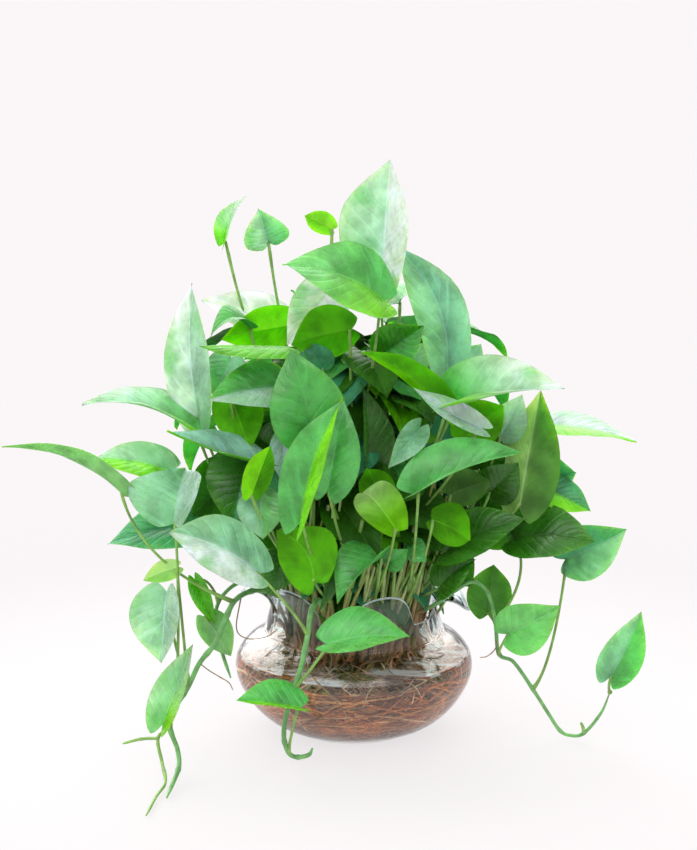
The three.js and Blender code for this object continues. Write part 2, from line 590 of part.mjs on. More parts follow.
function vineSolid({ radius, path, branches, leaves }) {
  const points = path.map((p) => new THREE.Vector3(...p));
  const pieces = [tube(points, radius, 5, 2 * points.length)];
  branches.forEach(([thickness, branch]) => {
    pieces.push(tube(branch.map((p) => new THREE.Vector3(...p)), thickness, 3, 2 * branch.length));
  });
  leaves.forEach(([node, via, ...row]) => {
    const leaf = readLeaf(row);
    pieces.push(petioleSolid(points[node], leaf, seen(via)), bladeSolid(leaf));
  });
  return fuse(pieces);
}

addPart('glass_bowl', glassBowl(), 'glass');
addPart('water', waterBody(), 'water');
const places = addCuttings();
Object.entries(VINES).forEach(([name, vine]) => {
  addPart(name, vineSolid(vine), 'vine');
  places.push(new THREE.Vector3(...vine.path[0]));
});
addPart('root_mass', rootMass(places.map(hole)), 'root');

export default part;
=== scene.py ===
import math
import random

import bpy
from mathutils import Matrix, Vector


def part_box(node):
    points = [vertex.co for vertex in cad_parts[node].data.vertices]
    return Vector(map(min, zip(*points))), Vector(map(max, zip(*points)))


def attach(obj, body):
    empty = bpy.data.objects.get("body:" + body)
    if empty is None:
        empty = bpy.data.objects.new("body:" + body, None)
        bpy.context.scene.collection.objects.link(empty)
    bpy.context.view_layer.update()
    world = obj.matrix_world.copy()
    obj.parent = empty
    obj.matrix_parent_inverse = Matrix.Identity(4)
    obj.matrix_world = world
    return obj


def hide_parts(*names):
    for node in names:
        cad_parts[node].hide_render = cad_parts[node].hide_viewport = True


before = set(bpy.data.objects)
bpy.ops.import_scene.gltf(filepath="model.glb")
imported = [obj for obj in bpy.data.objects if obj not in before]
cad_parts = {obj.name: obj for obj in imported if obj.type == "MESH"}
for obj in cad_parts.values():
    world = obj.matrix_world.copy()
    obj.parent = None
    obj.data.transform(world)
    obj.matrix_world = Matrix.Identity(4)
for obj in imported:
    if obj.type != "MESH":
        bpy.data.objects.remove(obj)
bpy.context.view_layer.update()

# --- The view ---------------------------------------------------------
# A long lens stands in front of the plant and a little above it, and takes in all of it, from the
# top leaf to the ends of the vines on the floor.
AIM = Vector((-0.0042, 0, 0.240))
VIEW_DISTANCE = 1.8
VIEW_DROP = math.radians(12)

camera_data = bpy.data.cameras.new("camera")
camera_data.lens = 100
camera_data.clip_end = 100
camera = bpy.data.objects.new("camera", camera_data)
camera.location = AIM + VIEW_DISTANCE * Vector((0, -math.cos(VIEW_DROP), math.sin(VIEW_DROP)))
camera.rotation_euler = (math.radians(90) - VIEW_DROP, 0, 0)
bpy.context.scene.collection.objects.link(camera)
bpy.context.scene.camera = camera


# --- The glass bowl ---------------------------------------------------
# A squat bowl of clear soda glass, blown in one piece: its collar was pulled out into six petals
# and curled over while hot, so wall and lip are rounded and slightly uneven. It stands on its flat
# base. Sizes are millimetres, and bearings are degrees from the front, turning to the right.
MM = 0.001
BODY = [  # radius and height, from the foot up to the neck
    (45, 0), (55, 4.5), (67, 11), (77, 20), (84.5, 30), (90, 41), (92, 51), (90, 61), (83.5, 69.5),
    (76, 75), (69.5, 79)]
NECK_RADIUS, NECK_HEIGHT = BODY[-1]
WALL = 3
LIP = 0.9  # thickness of the edge
BASE_RISE = 10  # below this height the wall is thicker
FOOT_MIDDLE, INSIDE_FLOOR = 30, 6.2
COLLAR_LEAN = math.radians(105)  # it leans in a little before it curls out
COLLAR_STRAIGHT = 17
PETAL_ROUND = 0.55
PETALS = [  # bearing, spread to each side, radius and length of the curl, length of the hanging tip
    (20, 24, 30, 28, 0), (90, 27, 10.5, 30, 10), (145, 26, 20, 28, 0), (200, 28, 24, 28, 0),
    (258, 27, 12, 30, 5), (315, 22, 30, 29, 0)]
COLLAR_STEPS, LIP_STEPS, INSIDE_STEPS = 26, 6, 37
BOWL_SIDES = 200
BEARINGS = [side * 360 / BOWL_SIDES for side in range(BOWL_SIDES)]


def polar(bearing, radius, height):
    angle = math.radians(bearing)
    return Vector((radius * math.sin(angle), -radius * math.cos(angle), height))


def smooth_line(points, steps):
    """Places on a smooth curve through all the points."""
    points = [Vector(p) for p in points]
    run = [2 * points[0] - points[1], *points, 2 * points[-1] - points[-2]]
    line = []
    for step in range(steps + 1):
        place = step / steps * (len(points) - 1)
        first = min(int(place), len(points) - 2)
        t = place - first
        a, b, c, d = run[first:first + 4]
        line.append(0.5 * (2 * b + (c - a) * t + (2 * a - 5 * b + 4 * c - d) * t ** 2
                           + (3 * b - a - 3 * c + d) * t ** 3))
    return line


def wall_radius(height):
    """Outer radius of the body, read from its smooth profile."""
    for (r0, z0), (r1, z1) in zip(bowl_profile, bowl_profile[1:]):
        if z1 >= height:
            return r0 + (r1 - r0) * (height - z0) / (z1 - z0)
    return NECK_RADIUS


def inner_radius(height):
    """Radius of the hollow: the slant of the wall takes a little, and the base is thicker."""
    extra = 0.5 * (BASE_RISE + 4 - height) if height < BASE_RISE else 0
    return wall_radius(height) - 1.15 * WALL - extra

def petal_lip(bearing, share, inset):
    """Place on the collar: share runs up from the neck to the lip, inset goes into the glass."""
    def offset(petal):
        return abs((bearing - petal[0] + 540) % 360 - 180)

    _, spread, curl, along, tip = petal = min(PETALS, key=offset)
    fullness = max(0, math.cos(math.radians(90 * min(1, offset(petal) / spread)))) ** PETAL_ROUND
    length = share * (COLLAR_STRAIGHT + fullness * (along + tip))
    straight = min(length, COLLAR_STRAIGHT)
    turn = min(max(length - straight, 0), along) / curl
    hang = max(length - straight - along, 0)
    slope = COLLAR_LEAN - turn
    radius = (NECK_RADIUS + straight * math.cos(COLLAR_LEAN) + hang * math.cos(slope)
              + curl * (math.sin(COLLAR_LEAN) - math.sin(slope)) - inset * math.sin(slope))
    height = (NECK_HEIGHT + straight * math.sin(COLLAR_LEAN) + hang * math.sin(slope)
              + curl * (math.cos(slope) - math.cos(COLLAR_LEAN)) + inset * math.cos(slope))
    return polar(bearing, radius, height)


def loft(rings):
    """Points and faces of a closed skin through rings: each end closes on a middle point."""
    count = len(rings[0])
    points = [point for ring in rings for point in ring]
    faces = []
    for row in range(len(rings) - 1):
        for side in range(count):
            after = (side + 1) % count
            faces.append((row * count + side, row * count + after,
                          (row + 1) * count + after, (row + 1) * count + side))
    for row, turned in ((0, True), (len(rings) - 1, False)):
        middle = sum(rings[row], Vector()) / count
        points.append(middle)
        for side in range(count):
            pair = (row * count + side, row * count + (side + 1) % count)
            faces.append((*reversed(pair), len(points) - 1) if turned else (*pair, len(points) - 1))
    return points, faces


def level_ring(radius, height):
    return [polar(bearing, radius, height) for bearing in BEARINGS]


def make_piece(name, points, faces, *looks):
    mesh = bpy.data.meshes.new(name)
    mesh.from_pydata([tuple(point * MM) for point in points], [], faces)
    mesh.polygons.foreach_set("use_smooth", [True] * len(faces))
    piece = bpy.data.objects.new(name, mesh)
    bpy.context.scene.collection.objects.link(piece)
    for look in looks:
        mesh.materials.append(look)
    return piece


def begin_look(name):
    """A new material, with its node tree and its main shader."""
    look = bpy.data.materials.new(name)
    look.use_nodes = True
    return look, look.node_tree, look.node_tree.nodes["Principled BSDF"]


def put(tree, kind, inputs=(), **settings):
    """Adds a node. Inputs go by name or number; a value that is a socket is joined to it."""
    node = tree.nodes.new(kind)
    for name, value in settings.items():
        setattr(node, name, value)
    feed(tree, node, dict(inputs))
    return node


def feed(tree, node, inputs):
    for name, value in inputs.items():
        if isinstance(value, bpy.types.NodeSocket):
            tree.links.new(value, node.inputs[name])
        else:
            node.inputs[name].default_value = value


def position(tree):
    return put(tree, "ShaderNodeNewGeometry").outputs["Position"]


def part_of(tree, place, axis):
    return put(tree, "ShaderNodeSeparateXYZ", {0: place}).outputs[axis]


def read_mark(tree, label, kind="Fac"):
    """Output with a value that the mesh carries at each point."""
    return put(tree, "ShaderNodeAttribute", attribute_name=label).outputs[kind]


def noise(tree, place, scale, detail):
    settings = {"Vector": place, "Scale": scale, "Detail": detail}
    return put(tree, "ShaderNodeTexNoise", settings).outputs[0]


def band(tree, value, low, high, start=0.0, end=1.0):
    """Output that goes smoothly from start to end as the value goes from low to high."""
    return put(tree, "ShaderNodeMapRange", {"Value": value, "From Min": low, "From Max": high,
                                            "To Min": start, "To Max": end},
               interpolation_type="SMOOTHSTEP").outputs[0]


def blend(tree, share, first, second):
    """Output that goes from the first colour to the second with the share."""
    return put(tree, "ShaderNodeMix", {0: share, 6: first, 7: second}, data_type="RGBA").outputs[2]


def emboss(tree, shader, height, strength, depth):
    bump = put(tree, "ShaderNodeBump", {"Height": height, "Strength": strength, "Distance": depth})
    feed(tree, shader, {"Normal": bump.outputs[0]})


def let_light_in(tree, shader, kept):
    """Light passes the clear skin in straight lines, so what is inside stays bright."""
    path = put(tree, "ShaderNodeLightPath")
    feed(tree, shader, {"Alpha": band(tree, path.outputs["Is Shadow Ray"], 0, 1, 1, kept)})


def clear_glass():
    look, tree, shader = begin_look("clear blown glass")
    place = position(tree)
    emboss(tree, shader, noise(tree, place, 38, 2), 0.25, 0.003)
    height = part_of(tree, place, "Z")
    feed(tree, shader, {
        "Roughness": band(tree, noise(tree, place, 90, 5), 0.5, 0.8, 0.0, 0.08),
        # Less clear along the lip, so it shows as a pale line: a painted highlight on the rim
        "Transmission Weight": band(tree, read_mark(tree, "lip"), 0, 1, 1, 0.45),
        "Specular IOR Level": band(tree, height, 0.04, 0.07, 0.1, 0.5),
        "Base Color": blend(tree, band(tree, height, 0.078, 0.09),
                            (0.95, 0.925, 0.885, 1), (0.60, 0.74, 0.74, 1))})
    shader.inputs["IOR"].default_value = 1.48
    let_light_in(tree, shader, 0.06)
    return look


bowl_profile = [(p.x, p.z) for p in smooth_line([(r, 0, z) for r, z in BODY], 44)]


def bowl_rings():
    shares = [step / COLLAR_STEPS for step in range(1, COLLAR_STEPS)]
    rings = [level_ring(FOOT_MIDDLE, 0)] + [level_ring(r, z) for r, z in bowl_profile]
    rings += [[petal_lip(b, share, 0) for b in BEARINGS] for share in shares]
    for step in range(LIP_STEPS + 1):
        angle = math.pi * step / LIP_STEPS
        reach = 1 + 0.02 * math.sin(angle)
        inset = LIP / 2 * (1 - math.cos(angle))
        rings.append([petal_lip(b, reach, inset) for b in BEARINGS])
    for share in reversed(shares):
        thick = WALL + (LIP - WALL) * share ** 2
        rings.append([petal_lip(b, share, thick) for b in BEARINGS])
    heights = [NECK_HEIGHT - 2 - 1.9 * step for step in range(INSIDE_STEPS)]
    rings += [level_ring(inner_radius(z), z) for z in heights]
    return rings + [level_ring(FOOT_MIDDLE, INSIDE_FLOOR)]


glass_bowl = make_piece("bowl", *loft(bowl_rings()), clear_glass())
# The lip rings are marked for the painted highlight: a pale, less clear line along the rim
lip_highlight_mark = glass_bowl.data.attributes.new("lip", "FLOAT", "POINT")
first_lip = (len(bowl_profile) + COLLAR_STEPS) * BOWL_SIDES
for point in range(first_lip, first_lip + (LIP_STEPS + 1) * BOWL_SIDES):
    lip_highlight_mark.data[point].value = 1
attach(glass_bowl, "root")
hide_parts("glass_bowl")


# --- The water --------------------------------------------------------
# Clear water, a little tea-coloured by the roots, fills the bowl to just under its shoulder and
# creeps a millimetre up the glass all round.
WATER_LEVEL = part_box("water")[1].z / MM
FLOOR = 6
WETTING = 0.2  # the water reaches this far into the wall, so that no air shows between them
MENISCUS = 1.1


def sum_of(tree, operation, *values):
    """Output of a Math node."""
    return put(tree, "ShaderNodeMath", dict(enumerate(values)), operation=operation).outputs[0]


def product(tree, value, *others):
    for other in others:
        value = sum_of(tree, "MULTIPLY", value, other)
    return value


def vector_sum(tree, operation, *values, kind="Vector"):
    """Output of a Vector Math node: kind is Value where the result is one number."""
    node = put(tree, "ShaderNodeVectorMath", dict(enumerate(values)), operation=operation)
    return node.outputs[kind]


def still_water():
    look, tree, shader = begin_look("still water")
    place = position(tree)
    emboss(tree, shader, noise(tree, place, 22, 1), 0.3, 0.004)
    # Bluish-white streaky patches just at the surface paint the reflection of the bright room on
    # the water
    streaks = noise(tree, vector_sum(tree, "MULTIPLY", place, (14, 70, 0)), 1, 4)
    height = part_of(tree, place, "Z")
    at_surface = band(tree, height, (WATER_LEVEL - 1.6) * MM, (WATER_LEVEL - 1.2) * MM)
    painted_reflection = product(tree, at_surface, band(tree, streaks, 0.5, 0.6))
    feed(tree, shader, {
        "Transmission Weight": band(tree, painted_reflection, 0, 1, 1, 0.3),
        "Base Color": blend(tree, painted_reflection, (0.98, 0.97, 0.93, 1), (0.80, 0.90, 0.98, 1))})
    shader.inputs["Roughness"].default_value = 0
    shader.inputs["IOR"].default_value = 1.33
    let_light_in(tree, shader, 0.04)
    return look


def water_rings():
    heights = [FLOOR + 0.5 + (WATER_LEVEL - FLOOR - 0.5) * step / 24 for step in range(25)]
    rings = [level_ring(20, FLOOR)]
    rings += [level_ring(inner_radius(z) + WETTING, z) for z in heights]
    edge = inner_radius(WATER_LEVEL) + WETTING
    for inward in (0.6, 1.4, 2.6, 4.5, 8, 20, 40, 60):
        drop = MENISCUS * math.exp(-inward / 1.6) - MENISCUS
        rings.append(level_ring(edge - inward, WATER_LEVEL + drop))
    return rings


water = make_piece("water_fill", *loft(water_rings()), still_water())
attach(water, "root")
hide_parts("water")


# --- The roots --------------------------------------------------------
# The cuttings' roots have filled the bowl: long reddish-brown roots wound round and round inside
# the glass, and finer tan ones that stray through the water above them. In the neck they end in a
# crown of old stem bases.
CROWN_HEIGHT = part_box("root_mass")[1].z / MM
CROWN_RADIUS = 54
ROOT_FLOOR = 9
PACKED_TOP = 44
WATER_FILM = 1
WOUND_ROOTS = 760
STRAY_ROOTS = 170
LYING_ROOTS = 420
CROWN_ROOTS = 240


def root_room(height):
    """Radius that the roots may fill at a height."""
    full = inner_radius(min(height, PACKED_TOP)) - WATER_FILM
    if height <= PACKED_TOP:
        return full
    share = (height - PACKED_TOP) / (CROWN_HEIGHT - PACKED_TOP)
    return full + (CROWN_RADIUS - full) * share ** 1.2


def across_frames(line):
    """Two directions across a line at each of its points, carried along without twist."""
    ahead = (line[1] - line[0]).normalized()
    first = ahead.orthogonal().normalized()
    frames = []
    for i, point in enumerate(line):
        ahead = (line[min(i + 1, len(line) - 1)] - line[max(i - 1, 0)]).normalized()
        first = (first - ahead * first.dot(ahead)).normalized()
        frames.append((first, ahead.cross(first)))
    return frames


def rod(line, radius, sides):
    """Points and faces of a round rod: radius is a function of the share of the way along it."""
    rings = []
    for i, (point, (first, second)) in enumerate(zip(line, across_frames(line))):
        thick = radius(i / (len(line) - 1))
        turns = [2 * math.pi * side / sides for side in range(sides)]
        rings.append([point + thick * (math.cos(a) * first + math.sin(a) * second) for a in turns])
    return loft(rings)


class Growth:
    """Leaves, stalks or roots that grew as one, gathered into one mesh with their tones."""

    def __init__(self):
        self.points, self.faces, self.looks = [], [], []
        self.tones, self.along, self.across, self.below = [], [], [], []

    def add(self, points, faces, tones, look=0, along=None, across=None, below=None):
        first = len(self.points)
        self.points += points
        self.faces += [tuple(first + corner for corner in face) for face in faces]
        self.looks += [look] * len(faces)
        self.tones += tones if isinstance(tones, list) else [tones] * len(points)
        self.along += along or [0.0] * len(points)
        self.across += across or [0.0] * len(points)
        self.below += below or [0.0] * len(points)

    def add_rod(self, line, radius, sides, tone, look=0):
        points, faces = rod(line, radius, sides)
        rows = [i / (len(line) - 1) for i in range(len(line)) for _ in range(sides)]
        self.add(points, faces, tone, look, rows + [0.0, 1.0])

    def make(self, name, *looks):
        piece = make_piece(name, self.points, self.faces, *looks)
        mesh = piece.data
        mesh.polygons.foreach_set("material_index", self.looks)
        tones = mesh.attributes.new("tone", "FLOAT_COLOR", "POINT")
        tones.data.foreach_set("color", [part for tone in self.tones for part in (*tone, 1)])
        marks = {"along": self.along, "across": self.across, "below": self.below}
        for label, values in marks.items():
            mesh.attributes.new(label, "FLOAT", "POINT").data.foreach_set("value", values)
        return piece


def shaded(tree, colour, shade):
    """Output with the colour made darker or lighter by the shade."""
    settings = {0: colour, "Scale": shade}
    return put(tree, "ShaderNodeVectorMath", settings, operation="SCALE").outputs[0]


def root_bark():
    look, tree, shader = begin_look("root skin")
    place = position(tree)
    grain = noise(tree, place, 420, 4)
    # Random grain and patches, and darker towards the bottom of the bowl: painted shade at its foot
    shade = product(tree, band(tree, grain, 0.3, 0.7, 0.7, 1.2),
                    band(tree, noise(tree, place, 45, 2), 0.35, 0.65, 0.75, 1.2),
                    band(tree, part_of(tree, place, "Z"), 0.009, 0.024, 0.3, 1))
    feed(tree, shader, {"Base Color": shaded(tree, read_mark(tree, "tone", "Color"), shade),
                        "Roughness": band(tree, grain, 0.3, 0.7, 0.5, 0.8)})
    emboss(tree, shader, grain, 0.5, 0.0006)
    return look


def core_radius(height):
    """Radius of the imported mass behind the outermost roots, which narrows upward to the crown."""
    if height < PACKED_TOP:
        return root_room(height) - 5 - 5 * max(0, (18 - height) / 7) ** 2
    return root_room(height) - 10 - 8 * math.sin(math.pi * (height - PACKED_TOP) / 28)


def packed_core(growth):
    """What lies behind the outermost roots: a furrowed mass, and the crown above it, painted dark
    for the shade deep among the roots.
    """
    rings = []
    heights = [ROOT_FLOOR + (CROWN_HEIGHT - 3 - ROOT_FLOOR) * step / 30 for step in range(31)]
    for height in heights:
        rings.append([])
        for bearing in BEARINGS:
            furrow = abs(math.sin(math.radians(7 * bearing) + height / 5))
            furrow += 0.6 * abs(math.sin(math.radians(13 * bearing) - height / 3.1))
            rings[-1].append(polar(bearing, core_radius(height) - 1.6 * furrow, height))
    # Dark brown: painted shade deep among the roots
    growth.add(*loft(rings), (0.11, 0.032, 0.012))


def wound_root(draw):
    """One long root that lies against the glass and winds round the bowl in a shallow wave."""
    start, sweep = draw.uniform(0, 360), draw.choice((-1, 1)) * draw.uniform(18, 75)
    low = ROOT_FLOOR + 2 + (PACKED_TOP - ROOT_FLOOR) * draw.random() ** 0.9
    rise, bend = draw.uniform(-34, 34), draw.uniform(-12, 12)
    depth, swell = draw.uniform(0.6, 3.5), draw.uniform(0, 1.5)
    line = []
    for step in range(17):
        share = step / 16
        height = low + rise * (share - 0.5) + bend * math.sin(math.pi * share)
        height += 0.8 * math.sin(9 * share + start)
        height = min(max(height, ROOT_FLOOR + 1.5), PACKED_TOP + 6)
        inset = depth + swell * math.sin(5 * share + low)
        inset += 4 * (abs(share - 0.5) * 2) ** 6
        line.append(polar(start + sweep * share, root_room(height) - max(inset, 0.8), height))
    return line


def stray_root(draw):
    """A finer root that leaves the crown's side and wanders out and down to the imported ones."""
    bearing, sweep = draw.uniform(0, 360), draw.uniform(-60, 60)
    high = draw.uniform(48, CROWN_HEIGHT - 6)
    line = []
    for share, stay in ((0, 0.62), (0.25, 0.82), (0.5, 0.93), (0.75, 0.97), (1, 0.93)):
        height = high + (draw.uniform(30, 44) - high) * share ** 1.3 + draw.uniform(-2, 2)
        above = inner_radius(min(height, WATER_LEVEL)) - 4
        reach = above if height > PACKED_TOP else root_room(height)
        line.append(polar(bearing + sweep * share + draw.uniform(-4, 4), reach * stay, height))
    return smooth_line(line, 20)


def lying_root(draw):
    """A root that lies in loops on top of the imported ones, just under the water's surface."""
    bearing, turn = draw.uniform(0, 360), draw.choice((-1, 1)) * draw.uniform(8, 18)
    usual = draw.uniform(PACKED_TOP, 56)
    line = []
    for step in range(7):
        height = min(max(usual + draw.uniform(-6, 6), PACKED_TOP - 1), 58)
        line.append(polar(bearing + turn * step + draw.uniform(-4, 4),
                          core_radius(height) + draw.uniform(0, 3.5), height))
    return smooth_line(line, 28)


def crown_root(draw):
    """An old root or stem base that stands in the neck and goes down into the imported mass."""
    bearing, lean = draw.uniform(0, 360), draw.uniform(-14, 14)
    out = CROWN_RADIUS * draw.uniform(0.6, 1.0)
    top = CROWN_HEIGHT + draw.uniform(-6, 22)
    line = [polar(bearing - lean, out * 1.04, top), polar(bearing, out, CROWN_HEIGHT - 6),
            polar(bearing + lean, out * 1.14, 54), polar(bearing + 2 * lean, out * 1.3, 40)]
    return smooth_line(line, 12)


def grown_roots():
    draw = random.Random(5)
    tans = [(0.78, 0.27, 0.085), (0.56, 0.17, 0.05), (0.88, 0.43, 0.17), (0.30, 0.085, 0.028),
            (0.95, 0.66, 0.38)]
    greys = [(0.42, 0.28, 0.22), (0.16, 0.10, 0.07), (0.80, 0.66, 0.50), (0.60, 0.36, 0.20)]
    growth = Growth()
    packed_core(growth)
    for count, root, thinnest, thickest, tones, shares, taper in (
            (WOUND_ROOTS, wound_root, 0.45, 1.15, tans, (5, 5, 3, 4, 1), 0.5),
            (STRAY_ROOTS, stray_root, 0.25, 0.6, greys, (2, 2, 4, 3), 0.5),
            (LYING_ROOTS, lying_root, 0.3, 0.75, greys, (5, 4, 3, 4), 0.4)):
        for _ in range(count):
            thick = draw.uniform(thinnest, thickest)
            tone = draw.choices(tones, shares)[0]
            growth.add_rod(root(draw), lambda share: thick * (1 - taper * share), 5, tone)
    for _ in range(CROWN_ROOTS):
        thick = draw.uniform(0.8, 2.0)
        tone = draw.choice(((0.50, 0.27, 0.14), (0.30, 0.15, 0.065), (0.17, 0.085, 0.035),
                            (0.22, 0.16, 0.06)))
        growth.add_rod(crown_root(draw), lambda share: thick * (0.6 + 0.4 * share), 6, tone)
    return growth


root_mass = grown_roots().make("wound_roots", root_bark())
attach(root_mass, "root")
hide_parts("root_mass")


# --- Leaves and stalks ------------------------------------------------
# A pothos leaf is a thin waxy heart with a drawn-out tip, a sunk midrib and side veins that sweep
# forward to its edge. It hangs on a grooved stalk that thickens just below the blade. The young
# ones are lime, old ones deep green, and light shines through them from behind. A leaf's tones
# also paint light and shade on it: the lime ones partly paint the light shining through, the dark
# ones partly paint shade, and the pale ones paint the sheen of the room on the wax.
BLADE = 0.45  # thickness at the midrib
LOBE = 0.13  # how far the lobes reach back past the stalk, as a share of the length
WAVE = 0.03  # of the edge, as a share of the width
PUFF = 0.04  # how far each half bulges between midrib and edge, as a share of the width
RIB, GROOVE = 0.9, 0.25  # the midrib stands out below and leaves a furrow above
RIB_REACH = 0.1  # its half width, as a share of the blade's
ROWS = [0, 0.01, 0.03, 0.06, 0.1, 0.15, 0.2, 0.27, 0.35, 0.43, 0.51, 0.59, 0.67, 0.75, 0.82, 0.88,
        0.93, 0.97, 1]
COLUMNS = [-1, -0.96, -0.86, -0.7, -0.5, -0.3, -0.14, -0.05, 0,
           0.05, 0.14, 0.3, 0.5, 0.7, 0.86, 0.96, 1]
FRONT, FRONT_UP, UP = (0, -1, 0.15), (0, -0.7, 0.7), (0, -0.25, 1)
LEFT, RIGHT = (-0.75, -0.65, 0.1), (0.75, -0.65, 0.1)
BACK, BACK_UP = (0, 1, 0.1), (0, 0.6, 0.8)
EYE = Vector((-4, -1761, 614))
STALK = (0.23, 0.42, 0.09)
# Tones are leaf colour with light painted in: dark partly paints shade, the limes partly paint
# light shining through, and mint, pale, blue, cream, white, ghost and chalk paint sheen.
TONES = {
    "dark": (0.027, 0.115, 0.007), "mid": (0.064, 0.31, 0.06), "bright": (0.09, 0.41, 0.09),
    "lime": (0.17, 0.58, 0.002), "deep_lime": (0.08, 0.34, 0.002), "olive": (0.075, 0.19, 0.035),
    "teal": (0.045, 0.24, 0.11), "mint": (0.34, 0.54, 0.41), "pale": (0.20, 0.44, 0.26),
    "blue": (0.36, 0.58, 0.50), "cream": (0.34, 0.56, 0.18), "white": (0.45, 0.61, 0.56),
    "sage": (0.19, 0.36, 0.15), "fresh": (0.14, 0.45, 0.12), "ghost": (0.60, 0.73, 0.71),
    "slate": (0.20, 0.40, 0.32), "chalk": (0.76, 0.84, 0.83), "spring": (0.27, 0.58, 0.03),
}


def seen(place):
    """A place read from the front as across, height and depth, carried to its depth."""
    across, height, depth = place
    spot = Vector((across, 0, height)).lerp(EYE, depth / EYE.y)
    spot.y = depth
    return spot


def half_outline(t, widest):
    """Half width of the blade along its midrib, as a share of the greatest."""
    if t < widest:
        return math.sqrt(1 - ((widest - t) / (widest + 0.025)) ** 2)
    g = (t - widest) / (1 - widest)
    return (1 - g ** 2) * (1 - 0.28 * g ** 3)


class Leaf:
    """One blade, from the point where its stalk joins it to its tip.

    Fold may be a pair, and tone may be two names, for the left half and the right half as seen
    from above with the tip ahead; a third name is the tone at the tip. Halves and tips in different
    tones paint how the light falls on each part. A leaf that bends away from the front looks widest
    further on, and sway curves the midrib to the right.
    """

    def __init__(self, base, tip, width, facing, fold, bow, tone, widest=0.33, sway=0.0):
        self.base, self.width, self.bow = base, width * 1.05, bow
        self.length = (tip - base).length
        self.run = (tip - base).normalized()
        self.side = self.run.cross(Vector(facing)).normalized()
        self.up = self.side.cross(self.run)
        folds = fold if isinstance(fold, tuple) else (fold, fold)
        self.folds = [math.radians(side) for side in folds]
        self.widest, self.sway = widest, sway
        self.phase = base.x + base.z
        names = tone.split("/")
        self.tones = [TONES[name] for name in (names + names[-1:] if len(names) == 1 else names)]

    def point(self, t, v, lift=0.0):
        edge = abs(v)
        sign = math.copysign(1, v) if v else 0
        along = t - LOBE * (1 - t) ** 4 * (1 - (1 - edge) ** 2)
        outline = half_outline(t, self.widest)
        half = 0.5 * self.width * outline * edge
        fold = self.folds[v > 0]
        wave = WAVE * self.width * math.sin(7 * t + self.phase + 2 * sign) * edge
        wave += 0.3 * WAVE * self.width * math.sin(19 * t + 1.7 * self.phase + sign) * edge ** 2
        rise = half * math.sin(fold) * edge ** 0.3 + wave + lift
        rise += PUFF * self.width * outline * math.sin(math.pi * edge)
        arc = self.length * 4 * t * (1 - t)
        across = sign * half * math.cos(fold) + self.sway * arc
        return (self.base + self.run * along * self.length + self.side * across
                + self.up * (rise + self.bow * arc))

    def tone(self, t, v):
        share = min(max(0.5 + 6 * v, 0), 1)
        left, right = self.tones[:2]
        mixed = [a + (b - a) * share for a, b in zip(left, right)]
        if len(self.tones) > 2:
            share = min(max((t - 0.15) / 0.55, 0), 1)
            mixed = [a + (b - a) * share for a, b in zip(mixed, self.tones[2])]
        return tuple(mixed)

    def lift(self, under, t, v):
        """How far the upper or the under face lies from the middle of the blade."""
        thick = BLADE / 2 * (1 - 0.6 * v * v) * (1 - 0.5 * t)
        ridge = max(0, 1 - abs(v) / RIB_REACH)
        return -thick - RIB * ridge * (1 - 0.8 * t) if under else thick - GROOVE * ridge

    def grow(self, growth):
        spots = [(under, t, v) for under in (0.0, 1.0) for t in ROWS for v in COLUMNS]
        points = [self.point(t, v, self.lift(under, t, v)) for under, t, v in spots]
        tones = [self.tone(t, v) for _, t, v in spots]
        below, along, across = zip(*spots)
        wide, high = len(COLUMNS), len(ROWS)
        layer = wide * high
        faces = []
        for row in range(high - 1):
            for column in range(wide - 1):
                a = row * wide + column
                quad = (a, a + wide, a + wide + 1, a + 1)
                faces.append(quad[::-1])
                faces.append(tuple(corner + layer for corner in quad))
        rim = [*range(wide), *(row * wide + wide - 1 for row in range(1, high)),
               *(layer - 1 - column for column in range(1, wide)),
               *(row * wide for row in range(high - 2, 0, -1))]
        for a, b in zip(rim, rim[1:] + rim[:1]):
            faces.append((a, b, b + layer, a + layer))
        growth.add(points, faces, tones, 0, along, across, below)


def grow_stalk(growth, start, leaf, via=None, tone=STALK):
    """The stalk leaves its stem in a sheath, swings out and thickens where it meets the blade."""
    end = leaf.point(0.03, 0, -0.6)
    level = math.hypot(end.x - start.x, end.y - start.y)
    bend = via or Vector((start.x + 0.72 * (end.x - start.x), start.y + 0.72 * (end.y - start.y),
                          start.z + 0.4 * (end.z - start.z) + 0.1 * level))
    line = []
    for step in range(19):
        t = step / 18
        line.append((1 - t) ** 2 * start + 2 * t * (1 - t) * bend + t ** 2 * end)

    def radius(share):
        sheath = 0.9 * max(0, 1 - share / 0.25) ** 1.5
        knee = 0.35 * math.exp(-((share - 0.95) / 0.05) ** 2)
        return 1.15 + sheath + knee - 0.15 * share

    growth.add_rod(line, radius, 8, tone, 1)


